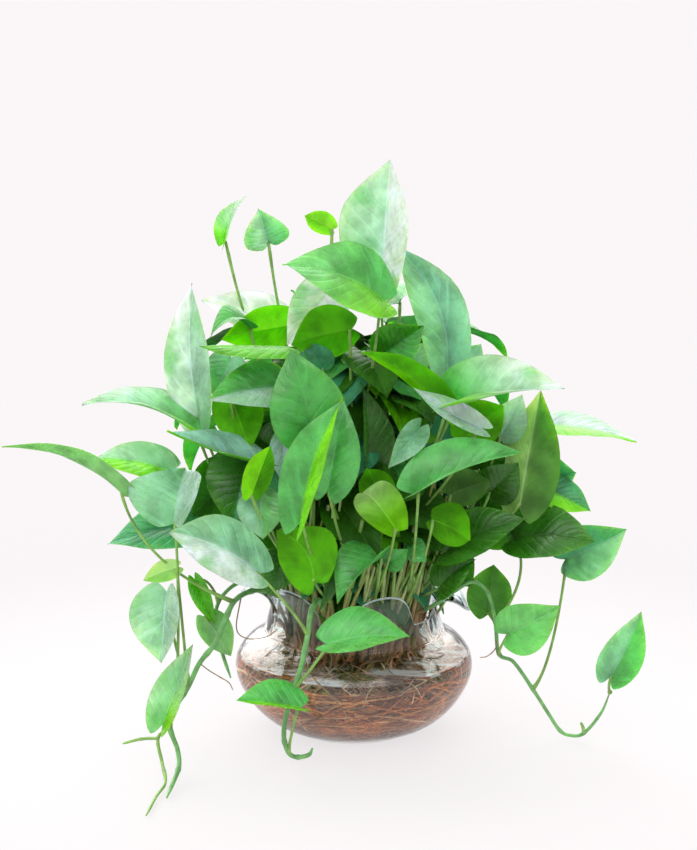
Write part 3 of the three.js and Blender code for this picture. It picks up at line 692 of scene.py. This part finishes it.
def waxy_leaf(name, gloss):
    look, tree, shader = begin_look(name)
    tone = read_mark(tree, "tone", "Color")
    split = put(tree, "ShaderNodeSeparateColor", {0: tone})
    green, blue = split.outputs["Green"], split.outputs["Blue"]
    along, below = read_mark(tree, "along"), read_mark(tree, "below")
    across = sum_of(tree, "ABSOLUTE", read_mark(tree, "across"))
    place = position(tree)

    # Side veins leave the midrib and sweep forward
    sweep = product(tree, sum_of(tree, "POWER", across, 0.8), 0.3)
    shift = band(tree, noise(tree, place, 30, 1), 0.3, 0.7, -0.025, 0.025)
    vein_place = sum_of(tree, "ADD", sum_of(tree, "SUBTRACT", along, sweep), shift)
    vein_wave = sum_of(tree, "ABSOLUTE", sum_of(tree, "SINE", product(tree, vein_place, 26)))
    veins = band(tree, vein_wave, 0.0, 0.3, 1, 0)
    midrib = band(tree, across, 0.012, 0.045, 1, 0)

    # Pale streaks of painted sheen run with the side veins, on the upper face: the whitish gloss of
    # the room, painted into the colour
    streak_place = put(tree, "ShaderNodeCombineXYZ", {
        "X": product(tree, vein_place, 9), "Y": product(tree, across, 1.3),
        "Z": product(tree, part_of(tree, place, "X"), 20)})
    streaks = noise(tree, streak_place.outputs[0], 1, 3)
    painted_sheen = product(tree, band(tree, streaks, 0.5, 0.78, 0, 0.42),
                    sum_of(tree, "SUBTRACT", 1, below), band(tree, green, 0.1, 0.3, 0.4, 1))
    # Paler where the sheen is painted, and along the midrib, whose own colour is paler
    pale = sum_of(tree, "MAXIMUM", painted_sheen, product(tree, midrib, 0.3))
    shade = band(tree, noise(tree, place, 55, 3), 0.3, 0.7, 0.68, 1.28)
    colour = shaded(tree, tone, sum_of(tree, "MULTIPLY_ADD", veins, 0.13, shade))
    paler = vector_sum(tree, "MULTIPLY_ADD", tone, (1.9, 1.7, 2.1), (0.02, 0.04, 0.03))
    colour = blend(tree, pale, colour, paler)

    # The pale tones that paint sheen are broken by clouds of green, mostly towards the leaves'
    # edges
    clouds = band(tree, noise(tree, place, 34, 3), 0.47, 0.62, 0, 0.75)
    marbled = product(tree, band(tree, green, 0.42, 0.6), clouds,
                      band(tree, across, 0.1, 0.8, 0.3, 1), band(tree, blue, 0.1, 0.3))

    # The blade is puckered between its veins and waxy above, matt below
    puckers = sum_of(tree, "MULTIPLY_ADD", veins, -0.6, product(tree, vein_wave, 0.6))
    fine = noise(tree, place, 260, 3)
    emboss(tree, shader, sum_of(tree, "MULTIPLY_ADD", fine, 0.3, puckers), 0.45, 0.0006)
    sheen = band(tree, fine, 0.3, 0.7, 0.24, 0.38)
    feed(tree, shader, {
        "Base Color": blend(tree, marbled, colour, (0.16, 0.42, 0.17, 1)),
        "Roughness": sum_of(tree, "MULTIPLY_ADD", below, 0.3, sheen),
        "Specular IOR Level": band(tree, below, 0, 1, gloss, 0.3 * gloss)})
    shader.inputs["Subsurface Weight"].default_value = 0.55
    shader.inputs["Subsurface Radius"].default_value = (0.5, 1.0, 0.08)
    shader.inputs["Subsurface Scale"].default_value = 0.0015
    return look


def green_stalk():
    """Stalks are green in the light and turn brown with age in the neck, round the axis."""
    look, tree, shader = begin_look("green stalk")
    place = position(tree)
    streaks = noise(tree, place, 120, 4)
    level = vector_sum(tree, "MULTIPLY", place, (1, 1, 0))
    from_axis = vector_sum(tree, "LENGTH", level, kind="Value")
    old = product(tree, band(tree, from_axis, 0.062, 0.07, 1, 0),
                  band(tree, part_of(tree, place, "Z"), 0.088, 0.13, 1, 0))
    aged = blend(tree, old, read_mark(tree, "tone", "Color"), (0.30, 0.155, 0.07, 1))
    feed(tree, shader, {
        "Base Color": shaded(tree, aged, band(tree, streaks, 0.3, 0.7, 0.75, 1.2)),
        "Roughness": band(tree, streaks, 0.3, 0.7, 0.35, 0.5)})
    emboss(tree, shader, streaks, 0.4, 0.0005)
    shader.inputs["Subsurface Weight"].default_value = 0.3
    shader.inputs["Subsurface Radius"].default_value = (0.5, 1.0, 0.2)
    shader.inputs["Subsurface Scale"].default_value = 0.002
    return look


leaf_look, stalk_look = waxy_leaf("waxy leaf", 0.45), green_stalk()


# --- The cuttings of the front ----------------------------------------
# Each cutting is a short jointed stem that stands in the crown and leans out, with its leaves on
# long stalks. A leaf's row: base and tip as seen from the front, width, the side that the upper
# face looks to, fold along the midrib, bow and tones, and for some where it is widest and its sway.
HOLE_DEPTH = 12
FOOT_GAP = 0.3  # between a stem's foot and the bottom of its hole
STEM_RADIUS = 2.3
STEM_FOOT = (0.05, 0.07, 0.02)
STEM_GREEN = (0.15, 0.30, 0.05)
CUTTINGS = {  # bearing, distance of the foot from the axis, rise of the stem, leaves
    "cutting_01": (-42, 42, 70, [
        ((-53, 138, -62), (-67, 106, -76), 28, FRONT, 12, 0.1, "dark"),
        ((-72, 186, -84), (-70, 150, -94), 34, FRONT, 12, 0.1, "fresh/pale"),
        ((-79, 184, -103), (-64, 224, -113), 22, BACK, 25, 0.1, "deep_lime/lime"),
        ((-54, 231, -60), (-54, 194, -74), 20, FRONT, 15, 0.1, "blue"),
    ]),
    "cutting_02": (-18, 47, 60, [
        ((-20, 151, -54), (-27, 92, -84), 26, RIGHT, 25, 0.1, "dark"),
        ((-31, 116, -108), (-60, 157, -96), 46, BACK, 10, 0.1, "deep_lime", 0.4, -0.16),
        ((-41, 164, -120), (-8, 261, -116), 40, LEFT, (42, 22), 0.08, "bright/lime"),
    ]),
    "cutting_03": (8, 30, 90, [
        ((-20, 189, -108), (-8, 260, -104), 38, FRONT, 10, 0.1, "bright"),
        ((-28, 227, -94), (-48, 299, -90), 54, FRONT, 12, 0.1, "mid"),
        ((8, 195, -58), (5, 273, -54), 38, RIGHT, 32, 0.08, "dark"),
    ]),
    "cutting_04": (18, 42, 70, [
        ((22, 136, -80), (-13, 98, -108), 46, FRONT_UP, (72, 10), 0.18, "mid"),
        ((33, 157, -94), (6, 186, -122), 34, BACK, 18, 0.28, "lime/lime/cream"),
        ((22, 178, -81), (10, 206, -89), 26, BACK, 15, 0.15, "deep_lime"),
        ((26, 131, -70), (42, 142, -80), 18, FRONT, 12, 0.1, "mid"),
    ]),
    "cutting_05": (46, 47, 62, [
        ((60, 166, -82), (89, 149, -102), 34, BACK, 22, 0.15, "deep_lime"),
        ((47, 186, -102), (128, 218, -88), 50, FRONT_UP, (14, 60), 0.12, "bright/fresh"),
        ((43, 146, -62), (56, 132, -72), 18, FRONT, 12, 0.1, "mid"),
    ]),
    "cutting_06": (48, 25, 120, [
        ((50, 238, -76), (26, 206, -94), 26, FRONT, 42, 0.1, "pale"),
        ((97, 238, -82), (45, 269, -99), 21, FRONT_UP, (20, 40), -0.06, "white/ghost", 0.25),
        ((71, 246, -80), (5, 296, -100), 30, BACK_UP, 20, 0.12, "deep_lime/lime"),
        ((73, 252, -72), (160, 268, -88), 60, FRONT_UP, (35, 60), 0.1, "bright/lime/ghost"),
    ]),
    "cutting_07": (70, 47, 70, [
        ((66, 112, -58), (94, 134, -72), 32, FRONT_UP, 12, 0.1, "dark"),
        ((71, 140, -62), (133, 166, -78), 40, FRONT_UP, 12, 0.12, "dark"),
        ((73, 185, -58), (104, 195, -68), 30, BACK, 15, 0.15, "olive"),
        ((104, 187, -46), (126, 211, -56), 32, FRONT, 12, 0.1, "dark"),
        ((127, 176, -62), (142, 267, -52), 50, BACK, (5, 50), 0.05, "olive/cream", 0.3),
        ((83, 229, -52), (114, 255, -60), 38, BACK, 15, 0.1, "deep_lime"),
        ((112, 232, -38), (128, 264, -44), 28, FRONT, 12, 0.1, "mint"),
    ]),
    "cutting_08": (98, 47, 80, [
        ((148, 199, -6), (170, 203, -20), 34, FRONT, 12, 0.1, "teal"),
        ((142, 192, -22), (182, 172, -34), 30, FRONT_UP, (10, 14), 0.04, "teal/lime"),
        ((148, 240, -24), (216, 227, -34), 34, UP, (8, 5), 0.05, "ghost/lime", 0.25),
        ((128, 219, -24), (124, 250, -36), 28, BACK, 18, 0.2, "deep_lime"),
        ((80, 279, -10), (96, 303, -16), 28, FRONT, 12, 0.1, "blue"),
    ]),
    "cutting_09": (-66, 47, 84, [
        ((-78, 214, -54), (-94, 160, -72), 56, FRONT_UP, 12, 0.12, "teal/dark"),
        ((-70, 210, -76), (-143, 235, -92), 44, (0, -0.5, 0.85), (46, 0), -0.04, "deep_lime/slate"),
        ((-95, 266, -57), (-80, 219, -68), 38, BACK, 18, 0.1, "deep_lime"),
        ((-57, 269, -60), (-110, 260, -82), 40, FRONT_UP, (12, 26), 0.06, "mint/mid", 0.3),
    ]),
    "cutting_10": (-88, 47, 80, [
        ((-106, 160, -16), (-190, 146, -24), 42, FRONT_UP, 12, 0.12, "teal"),
        ((-141, 204, -22), (-200, 213, -32), 34, FRONT_UP, (14, 12), 0.12, "lime/mint", 0.25),
        ((-116, 229, -42), (-207, 256, -56), 44, UP, 24, 0.14, "lime/fresh/mint"),
        ((-118, 245, -36), (-122, 349, -28), 40, (-0.45, -0.88, 0.1), 18, 0.08, "ghost/mint"),
    ]),
    "cutting_11": (-60, 25, 150, [
        ((-93, 292, -26), (-107, 261, -39), 30, FRONT, 12, 0.1, "pale"),
        ((-58, 275, -34), (-101, 272, -50), 34, BACK_UP, 14, 0.12, "lime/deep_lime"),
        ((-50, 300, -72), (-117, 301, -84), 30, UP, (-12, -28), 0.0, "deep_lime"),
        ((-44, 318, -18), (-101, 306, -38), 32, BACK, 8, 0.06, "lime"),
        ((-78, 314, -28), (-109, 307, -42), 26, UP, 18, 0.4, "mid"),
    ]),
    "cutting_12": (8, 10, 180, [
        ((-24, 284, -44), (-36, 305, -50), 24, FRONT, 12, 0.1, "teal"),
        ((-2, 314, -50), (-48, 302, -64), 40, BACK, 15, 0.12, "deep_lime"),
        ((22, 295, -38), (53, 317, -52), 36, FRONT, 18, 0.1, "dark/mid"),
        ((22, 336, -68), (-54, 363, -90), 54, FRONT_UP, (8, 14), 0.14, "lime/bright/fresh"),
    ]),
    "cutting_13": (120, 25, 175, [
        ((37, 278, -26), (54, 304, -34), 28, FRONT, 10, 0.1, "mint"),
        ((69, 268, -34), (30, 378, -12), 38, FRONT, 14, 0.08, "pale/slate", 0.5, 0.14),
        ((-14, 348, -24), (-51, 302, -38), 40, FRONT, 12, 0.12, "chalk"),
        ((20, 346, -22), (27, 442, -32), 66, FRONT, (10, 62), 0.1, "white/ghost", 0.55),
        ((34, 334, 30), (60, 346, 86), 48, BACK_UP, 14, 0.14, "mid"),
    ]),
    "cutting_14": (-125, 25, 190, [
        ((-52, 315, 4), (-115, 336, -6), 40, FRONT_UP, 14, 0.02, "chalk"),
        ((-97, 380, -4), (-81, 415, -10), 20, LEFT, 35, 0.1, "lime/lime/ghost"),
        ((-64, 380, -2), (-72, 405, -18), 34, FRONT, 14, 0.1, "white/pale"),
        ((-16, 390, -2), (-37, 400, -12), 18, BACK, 18, 0.1, "spring"),
        ((-22, 326, 36), (-34, 330, 96), 48, BACK_UP, 14, 0.14, "bright"),
    ]),
}


def stem_line(bearing, out, rise):
    foot = CROWN_HEIGHT - HOLE_DEPTH + FOOT_GAP
    return smooth_line([
        polar(bearing, out, foot), polar(bearing, out, CROWN_HEIGHT + 4),
        polar(bearing, out * 1.12, CROWN_HEIGHT + rise * 0.55),
        polar(bearing, out * 1.4, CROWN_HEIGHT + rise)], 40)


def grow_stem(growth, line):
    """A jointed stem: brown and ringed at its foot, greener and thinner towards its end."""
    def radius(share):
        joint = 0.45 * max(0, math.cos(2 * math.pi * 5 * share)) ** 8
        return STEM_RADIUS * (1 - 0.3 * share) + joint

    points, faces = rod(line, radius, 10)
    shares = [i / (len(line) - 1) for i in range(len(line)) for _ in range(10)] + [0, 1]
    tones = [tuple(a + (b - a) * min(1, 2.2 * share) for a, b in zip(STEM_FOOT, STEM_GREEN))
             for share in shares]
    growth.add(points, faces, tones, 1, shares)


def place_cutting(name, bearing, out, rise, leaves):
    growth = Growth()
    line = stem_line(bearing, out, rise)
    grow_stem(growth, line)
    for order, leaf in enumerate(leaves):
        share = 0.62 + 0.36 * (order + 0.5) / len(leaves)
        leaf.grow(growth)
        grow_stalk(growth, line[round(share * (len(line) - 1))], leaf)
    piece = growth.make(f"{name}_grown", leaf_look, stalk_look)
    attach(piece, "root")
    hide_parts(name)


for name, (bearing, out, rise, rows) in CUTTINGS.items():
    leaves = [Leaf(seen(base), seen(tip), *rest) for base, tip, *rest in rows]
    place_cutting(name, bearing, out, rise, leaves)


# --- The cuttings of the back -----------------------------------------
# Behind the bush the cuttings stand in a row of their own. Their leaves hang like shingles on the
# round of the bush, turned left and right in turn, and every other cutting keeps further in.
FIRST_BACK = 15
BACK_BEARINGS = [117, 140, 163, 186, 209, 231, 252]
# Distance of the foot, rise of the stem, share of the bush's round, leaf width and height angles
OUTER = (47, 80, 0.84, 50, (-24, -5, 14, 33, 52))
INNER = (30, 110, 0.66, 34, (-14, 6, 26, 40))
BACK_TURN = 5
BACK_HANG, BACK_REACH = 26, 0.28  # how far a leaf hangs down the round, and out of it
USUAL_FOLD, USUAL_BOW = 14, 0.12
BUSH_CENTRE = 210
BUSH_LEVEL, BUSH_UP, BUSH_DOWN = 128, 150, 100
BACK_TONES = ["mid", "bright", "teal", "mid", "deep_lime", "dark", "fresh"]


def bush_point(bearing, climb, share):
    """Place on the round of the bush, by bearing and height angle."""
    angle = math.radians(climb)
    up = BUSH_UP if climb > 0 else BUSH_DOWN
    return polar(bearing, share * BUSH_LEVEL * math.cos(angle),
                 BUSH_CENTRE + share * up * math.sin(angle))


def back_leaf(bearing, share, usual, climb, order):
    turned = bearing + (BACK_TURN if order % 2 else -BACK_TURN)
    width = usual + 4 * math.sin(bearing + 2 * order)
    facing = bush_point(turned, climb, 1)
    facing.z = 150 * math.sin(math.radians(climb)) + 60
    tone = BACK_TONES[(order * 3 + int(bearing)) % len(BACK_TONES)]
    tip = bush_point(turned, climb - BACK_HANG, share + BACK_REACH)
    return Leaf(bush_point(turned, climb, share), tip, width, facing, USUAL_FOLD, USUAL_BOW, tone)


for number, bearing in enumerate(BACK_BEARINGS):
    out, rise, share, usual, climbs = INNER if number % 2 else OUTER
    leaves = [back_leaf(bearing, share, usual, climb, order) for order, climb in enumerate(climbs)]
    place_cutting(f"cutting_{FIRST_BACK + number}", bearing, out, rise, leaves)


# --- The inner leaves -------------------------------------------------
# The middle of the bush is thick with older leaves on stalks straight from the crown. They are what
# shows wherever the outer leaves leave a gap, and their dark tones and dull copy of the leaf
# material paint the shade there.
INNER_LEAVES = 140
INNER_LOW, INNER_HIGH = 112, 308
MOUTH_STALKS = 46
STALK_START = CROWN_HEIGHT - 4
LOW_LEAVES = [  # older leaves further out, that show in shade between the outer ones
    ((95, 205, -26), (128, 238, -32), 46), ((-92, 205, -14), (-124, 168, -24), 44),
    ((98, 174, -26), (138, 150, -32), 46), ((-66, 170, -44), (-48, 138, -50), 32),
    ((-58, 242, -26), (-86, 210, -34), 34), ((64, 146, -18), (92, 112, -24), 36),
]
STALK_TONES = (STALK, (0.43, 0.53, 0.20), (0.33, 0.37, 0.09))


def inner_leaf(draw):
    bearing, height = draw.uniform(0, 360), draw.uniform(INNER_LOW, INNER_HIGH)
    room = min(74, 20 + 0.6 * (height - 100), 0.8 * (360 - height))
    radius = draw.uniform(6, room) * (1 - 0.35 * max(0, math.cos(math.radians(bearing))))
    base = polar(bearing, radius, height)
    tip = polar(bearing + draw.uniform(-30, 30), radius + draw.uniform(28, 45),
                height - draw.uniform(10, 42))
    # Mostly dark tones, which paint the shade inside the bush
    tone = draw.choices(("dark", "teal", "deep_lime", "mid"), (5, 2, 1, 1))[0]
    facing = (base.x, base.y, 50)
    return Leaf(base, tip, draw.uniform(34, 48), facing, USUAL_FOLD, USUAL_BOW, tone)


def mouth_stalk(draw):
    """A bare stalk that fans out of the mouth, up into the leaves of the front."""
    bearing, lean = draw.uniform(-60, 80), draw.uniform(-6, 24)
    foot = polar(bearing - lean / 2, draw.uniform(38, 53), STALK_START)
    middle = polar(bearing, 54 + draw.uniform(-4, 4), 112)
    return smooth_line([foot, middle, polar(bearing + lean, draw.uniform(60, 78),
                                            draw.uniform(165, 210))], 14)


def grown_inside():
    draw = random.Random(21)
    growth = Growth()
    for _ in range(INNER_LEAVES):
        leaf = inner_leaf(draw)
        leaf.grow(growth)
        bearing = math.degrees(math.atan2(leaf.base.x, -leaf.base.y)) + draw.uniform(-40, 40)
        foot = polar(bearing, draw.uniform(34, 52), STALK_START)
        grow_stalk(growth, foot, leaf, tone=draw.choice(STALK_TONES))
    for base, tip, width in LOW_LEAVES:
        # All in the dark tone, which paints the shade they stand in
        leaf = Leaf(seen(base), seen(tip), width, FRONT, USUAL_FOLD, USUAL_BOW, "dark")
        leaf.grow(growth)
        grow_stalk(growth, polar(90 if base[0] > 0 else -90, 48, STALK_START), leaf)
    for _ in range(MOUTH_STALKS):
        thick = draw.uniform(1.1, 1.8)
        tone = draw.choice(STALK_TONES)
        growth.add_rod(mouth_stalk(draw), lambda share: thick * (1.2 - 0.4 * share), 7, tone, 1)
    return growth


# A shaded copy of the waxy leaf with little gloss: it paints out the sheen where these leaves stand
# in shade
inner_leaves = grown_inside().make("inner_leaves", waxy_leaf("dull old leaf", 0.08), stalk_look)
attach(inner_leaves, "root")


# --- The vines --------------------------------------------------------
# Four long stems have climbed over the lip and trail down to the surface, jointed every few
# centimetres, with a leaf at most joints and thin brown air roots. Paths are real places, and a
# leaf's row begins with the point of the path where its stalk starts and a place it swings by.
VINE_RADIUS = 2.2
SHOOT_RADIUS = 1.4
THREAD_RADIUS = 0.5
VINE_GREEN = (0.17, 0.42, 0.13)
THREAD_BROWN = (0.26, 0.17, 0.09)
VINES = {
    "vine_left": (VINE_RADIUS, [
        (-34, -8, 60.5), (-35, -8, 84), (-48, -11, 102), (-68, -32, 118), (-80, -50, 122),
        (-90, -62, 118), (-97, -68, 104), (-104, -74, 89), (-115, -80, 76), (-123, -86, 60),
        (-132, -92, 46), (-136, -100, 33), (-130, -112, 20), (-128, -128, 12), (-132, -150, 5),
        (-134, -166, 3.2),
    ], [
        (SHOOT_RADIUS, [(-136, -100, 33), (-145, -102, 25), (-141, -118, 12), (-137, -140, 5),
                        (-142, -165, 3), (-146, -200, 2.8)]),
        (SHOOT_RADIUS, [(-145, -102, 25), (-158, -98, 23), (-172, -94, 18)]),
        (THREAD_RADIUS, [(-115, -80, 76), (-108, -82, 71), (-99, -84, 66), (-93, -84, 62),
                         (-90, -84, 56)]),
        (THREAD_RADIUS, [(-85, -56, 119), (-88, -64, 98), (-80, -70, 92), (-66, -66, 92),
                         (-57, -62, 97)]),
    ], [
        (5, (-165, 129, -60), (-176, 185, -52), (-269, 223, -44), 27, BACK_UP, 16, 0.12, "sage"),
        (10, (-134, 100, -80), (-138, 163, -66), (-129, 206, -42), 74, FRONT_UP, (4, 60), 0.1,
         "pale/mint", 0.5),
        (9, (-140, 60, -84), (-145, 108, -74), (-150, 50, -88), 50, FRONT, (62, 12), 0.1, "mint"),
        (9, (-134, 90, -74), (-136, 128, -64), (-163, 117, -72), 18, BACK, (50, 10), 0.1, "cream"),
        (11, (-146, 12, -98), (-150, 0, -110), (-125, 66, -98), 40, FRONT, (38, 70), 0.1,
         "mint/lime/mint"),
    ]),
    "vine_left_back": (1.8, [
        (-28, 6, 60.5), (-29, 6, 84), (-50, 7, 106), (-72, 5, 118), (-90, -3, 116),
        (-104, -14, 104), (-106, -28, 86), (-99, -46, 70), (-93, -60, 58),
    ], [], [
        (5, (-112, 122, -24), (-123, 118, -30), (-108, 82, -42), 15, FRONT, 18, 0.1, "deep_lime"),
        (6, (-112, 84, -44), (-116, 88, -40), (-96, 56, -56), 26, BACK, 14, 0.1, "sage"),
    ]),
    "vine_front": (VINE_RADIUS, [
        (-18, -32, 60.5), (-19, -34, 84), (-23, -52, 108), (-27, -70, 122), (-32, -88, 117),
        (-34, -99, 104), (-38, -104, 84), (-44, -105, 64), (-50, -104, 44), (-52, -101, 26),
        (-49, -96, 12), (-43, -90, 6), (-34, -88, 7), (-31, -87, 12),
    ], [
        (THREAD_RADIUS, [(-38, -104, 84), (-28, -110, 72), (-14, -112, 58), (-2, -106, 38)]),
    ], [
        (5, (-50, 98, -102), (-74, 123, -100), (-142, 156, -114), 48, FRONT_UP, 12, 0.14,
         "ghost/pale", 0.5),
        (7, (-34, 44, -110), (-21, 66, -116), (44, 72, -118), 46, FRONT_UP, (5, 40), 0.1,
         "bright/fresh"),
        (10, (-49, -6, -104), (-42, 14, -114), (-92, 20, -126), 38, FRONT_UP, (55, 5), 0.04,
         "lime/bright"),
    ]),
    "vine_right": (1.7, [
        (28, -17, 60.5), (29, -18, 84), (45, -25, 97), (61, -33, 107), (77, -40, 121),
        (90, -42, 128), (101, -42, 119), (107, -42, 96), (110, -44, 72), (121, -46, 66),
        (136, -44, 44), (148, -40, 24), (158, -36, 8), (166, -36, 4), (176, -40, 7),
        (188, -48, 26), (194, -52, 44),
    ], [
        (THREAD_RADIUS, [(108, -43, 84), (107, -47, 77), (101, -50, 72), (95, -51, 71)]),
        (SHOOT_RADIUS, [(176, -40, 7), (175, -44, 13), (173, -46, 18)]),
    ], [
        (7, (106, 88, -38), (104, 90, -32), (108, 130, -34), 34, BACK, 12, 0.1, "olive"),
        (7, (138, 118, -40), (123, 150, -38), (186, 148, -56), 48, FRONT_UP, 12, 0.14, "dark"),
        (8, (112, 60, -50), (119, 74, -54), (160, 97, -68), 40, FRONT, 16, 0.14, "fresh"),
        (10, (155, 46, -38), (163, 134, -20), (210, 158, -34), 42, FRONT, 12, 0.12, "teal/pale"),
        (16, (198, 30, -58), (200, 39, -58), (223, 92, -62), 32, FRONT, 12, 0.12, "pale/bright"),
    ]),
}


def vine_radius(thick, joints):
    """A vine's thickness along it: it swells in a ring at each joint and thins to its end."""
    def radius(share):
        joint = 0.22 * thick * max(0, math.cos(2 * math.pi * joints * share)) ** 10
        end = min(1, 0.35 + 9 * (1 - share))
        return end * (thick * (1 - 0.25 * share) + joint)
    return radius


for name, (thick, path, branches, rows) in VINES.items():
    growth = Growth()
    growth.add_rod(smooth_line(path, 8 * len(path)), vine_radius(thick, len(path) // 2), 10,
                   VINE_GREEN, 1)
    for size, branch in branches:
        tone = THREAD_BROWN if size == THREAD_RADIUS else STALK
        growth.add_rod(smooth_line(branch, 8 * len(branch)), vine_radius(size, 2), 8, tone, 1)
    for joint, via, base, tip, *rest in rows:
        leaf = Leaf(seen(base), seen(tip), *rest)
        leaf.grow(growth)
        grow_stalk(growth, Vector(path[joint]), leaf, seen(via))
    piece = growth.make(f"{name}_grown", leaf_look, stalk_look)
    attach(piece, "root")
    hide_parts(name)


# --- Floor and light --------------------------------------------------
# A plain pale floor that runs out of view on all sides, a white room, and a tall window of soft
# light above and behind the plant, which shines through the leaves. The floor glows with painted
# light, more near the plant, which washes out the plant's shadow on it.
FLOOR_REACH = 40
FLOOR_GLOW = 0.74
FAR_GLOW = 0.636
ROOM_LOW, ROOM_HIGH = 0.45, 0.78
SOFT_BOX_LIGHT = 2.6
SOFT_BOX_SIDE = Vector((-0.35, -0.94, 0)).normalized()
WINDOW_LIGHT = 3.0
WINDOW_SIDE = Vector((-0.2, 0.72, 0.66)).normalized()

floor_mesh = bpy.data.meshes.new("floor")
floor_mesh.from_pydata([(x * FLOOR_REACH, y * FLOOR_REACH, 0) for x, y in
                        ((-1, -1), (1, -1), (1, 1), (-1, 1))], [], [(0, 1, 2, 3)])
floor = bpy.data.objects.new("floor", floor_mesh)
bpy.context.scene.collection.objects.link(floor)
floor_look, floor_tree, floor_shader = begin_look("pale floor")
floor_shader.inputs["Base Color"].default_value = (0.17, 0.164, 0.166, 1)
floor_shader.inputs["Emission Color"].default_value = (1, 0.965, 0.973, 1)
# The floor's glow is painted light: strongest near the plant, where it washes out the plant's
# shadow, and weaker far off
floor_far = vector_sum(floor_tree, "LENGTH", position(floor_tree), kind="Value")
feed(floor_tree, floor_shader, {
    "Emission Strength": band(floor_tree, floor_far, 0.22, 0.56, FLOOR_GLOW, FAR_GLOW)})
floor_shader.inputs["Roughness"].default_value = 0.9
floor_shader.inputs["Specular IOR Level"].default_value = 0
floor_mesh.materials.append(floor_look)

world = bpy.data.worlds.new("white room")
world.use_nodes = True
bpy.context.scene.world = world
room = world.node_tree
sky = put(room, "ShaderNodeTexCoord").outputs["Generated"]
up = part_of(room, sky, "Z")
walls = band(room, up, 0, 0.8, ROOM_LOW, ROOM_HIGH)
toward = vector_sum(room, "DOT_PRODUCT", sky, WINDOW_SIDE, kind="Value")
window = band(room, toward, 0.6, 0.88, 0, WINDOW_LIGHT)
front = vector_sum(room, "DOT_PRODUCT", sky, SOFT_BOX_SIDE, kind="Value")
soft_box = product(room, band(room, front, 0.3, 0.5, 0, SOFT_BOX_LIGHT),
                   product(room, band(room, up, 0.4, 0.5), band(room, up, 0.7, 0.8, 1, 0)))
light = sum_of(room, "ADD", walls, sum_of(room, "ADD", window, soft_box))
feed(room, room.nodes["Background"], {"Strength": light})
room.nodes["Background"].inputs["Color"].default_value = (1, 1, 1, 1)

bpy.context.scene.view_settings.view_transform = "Standard"
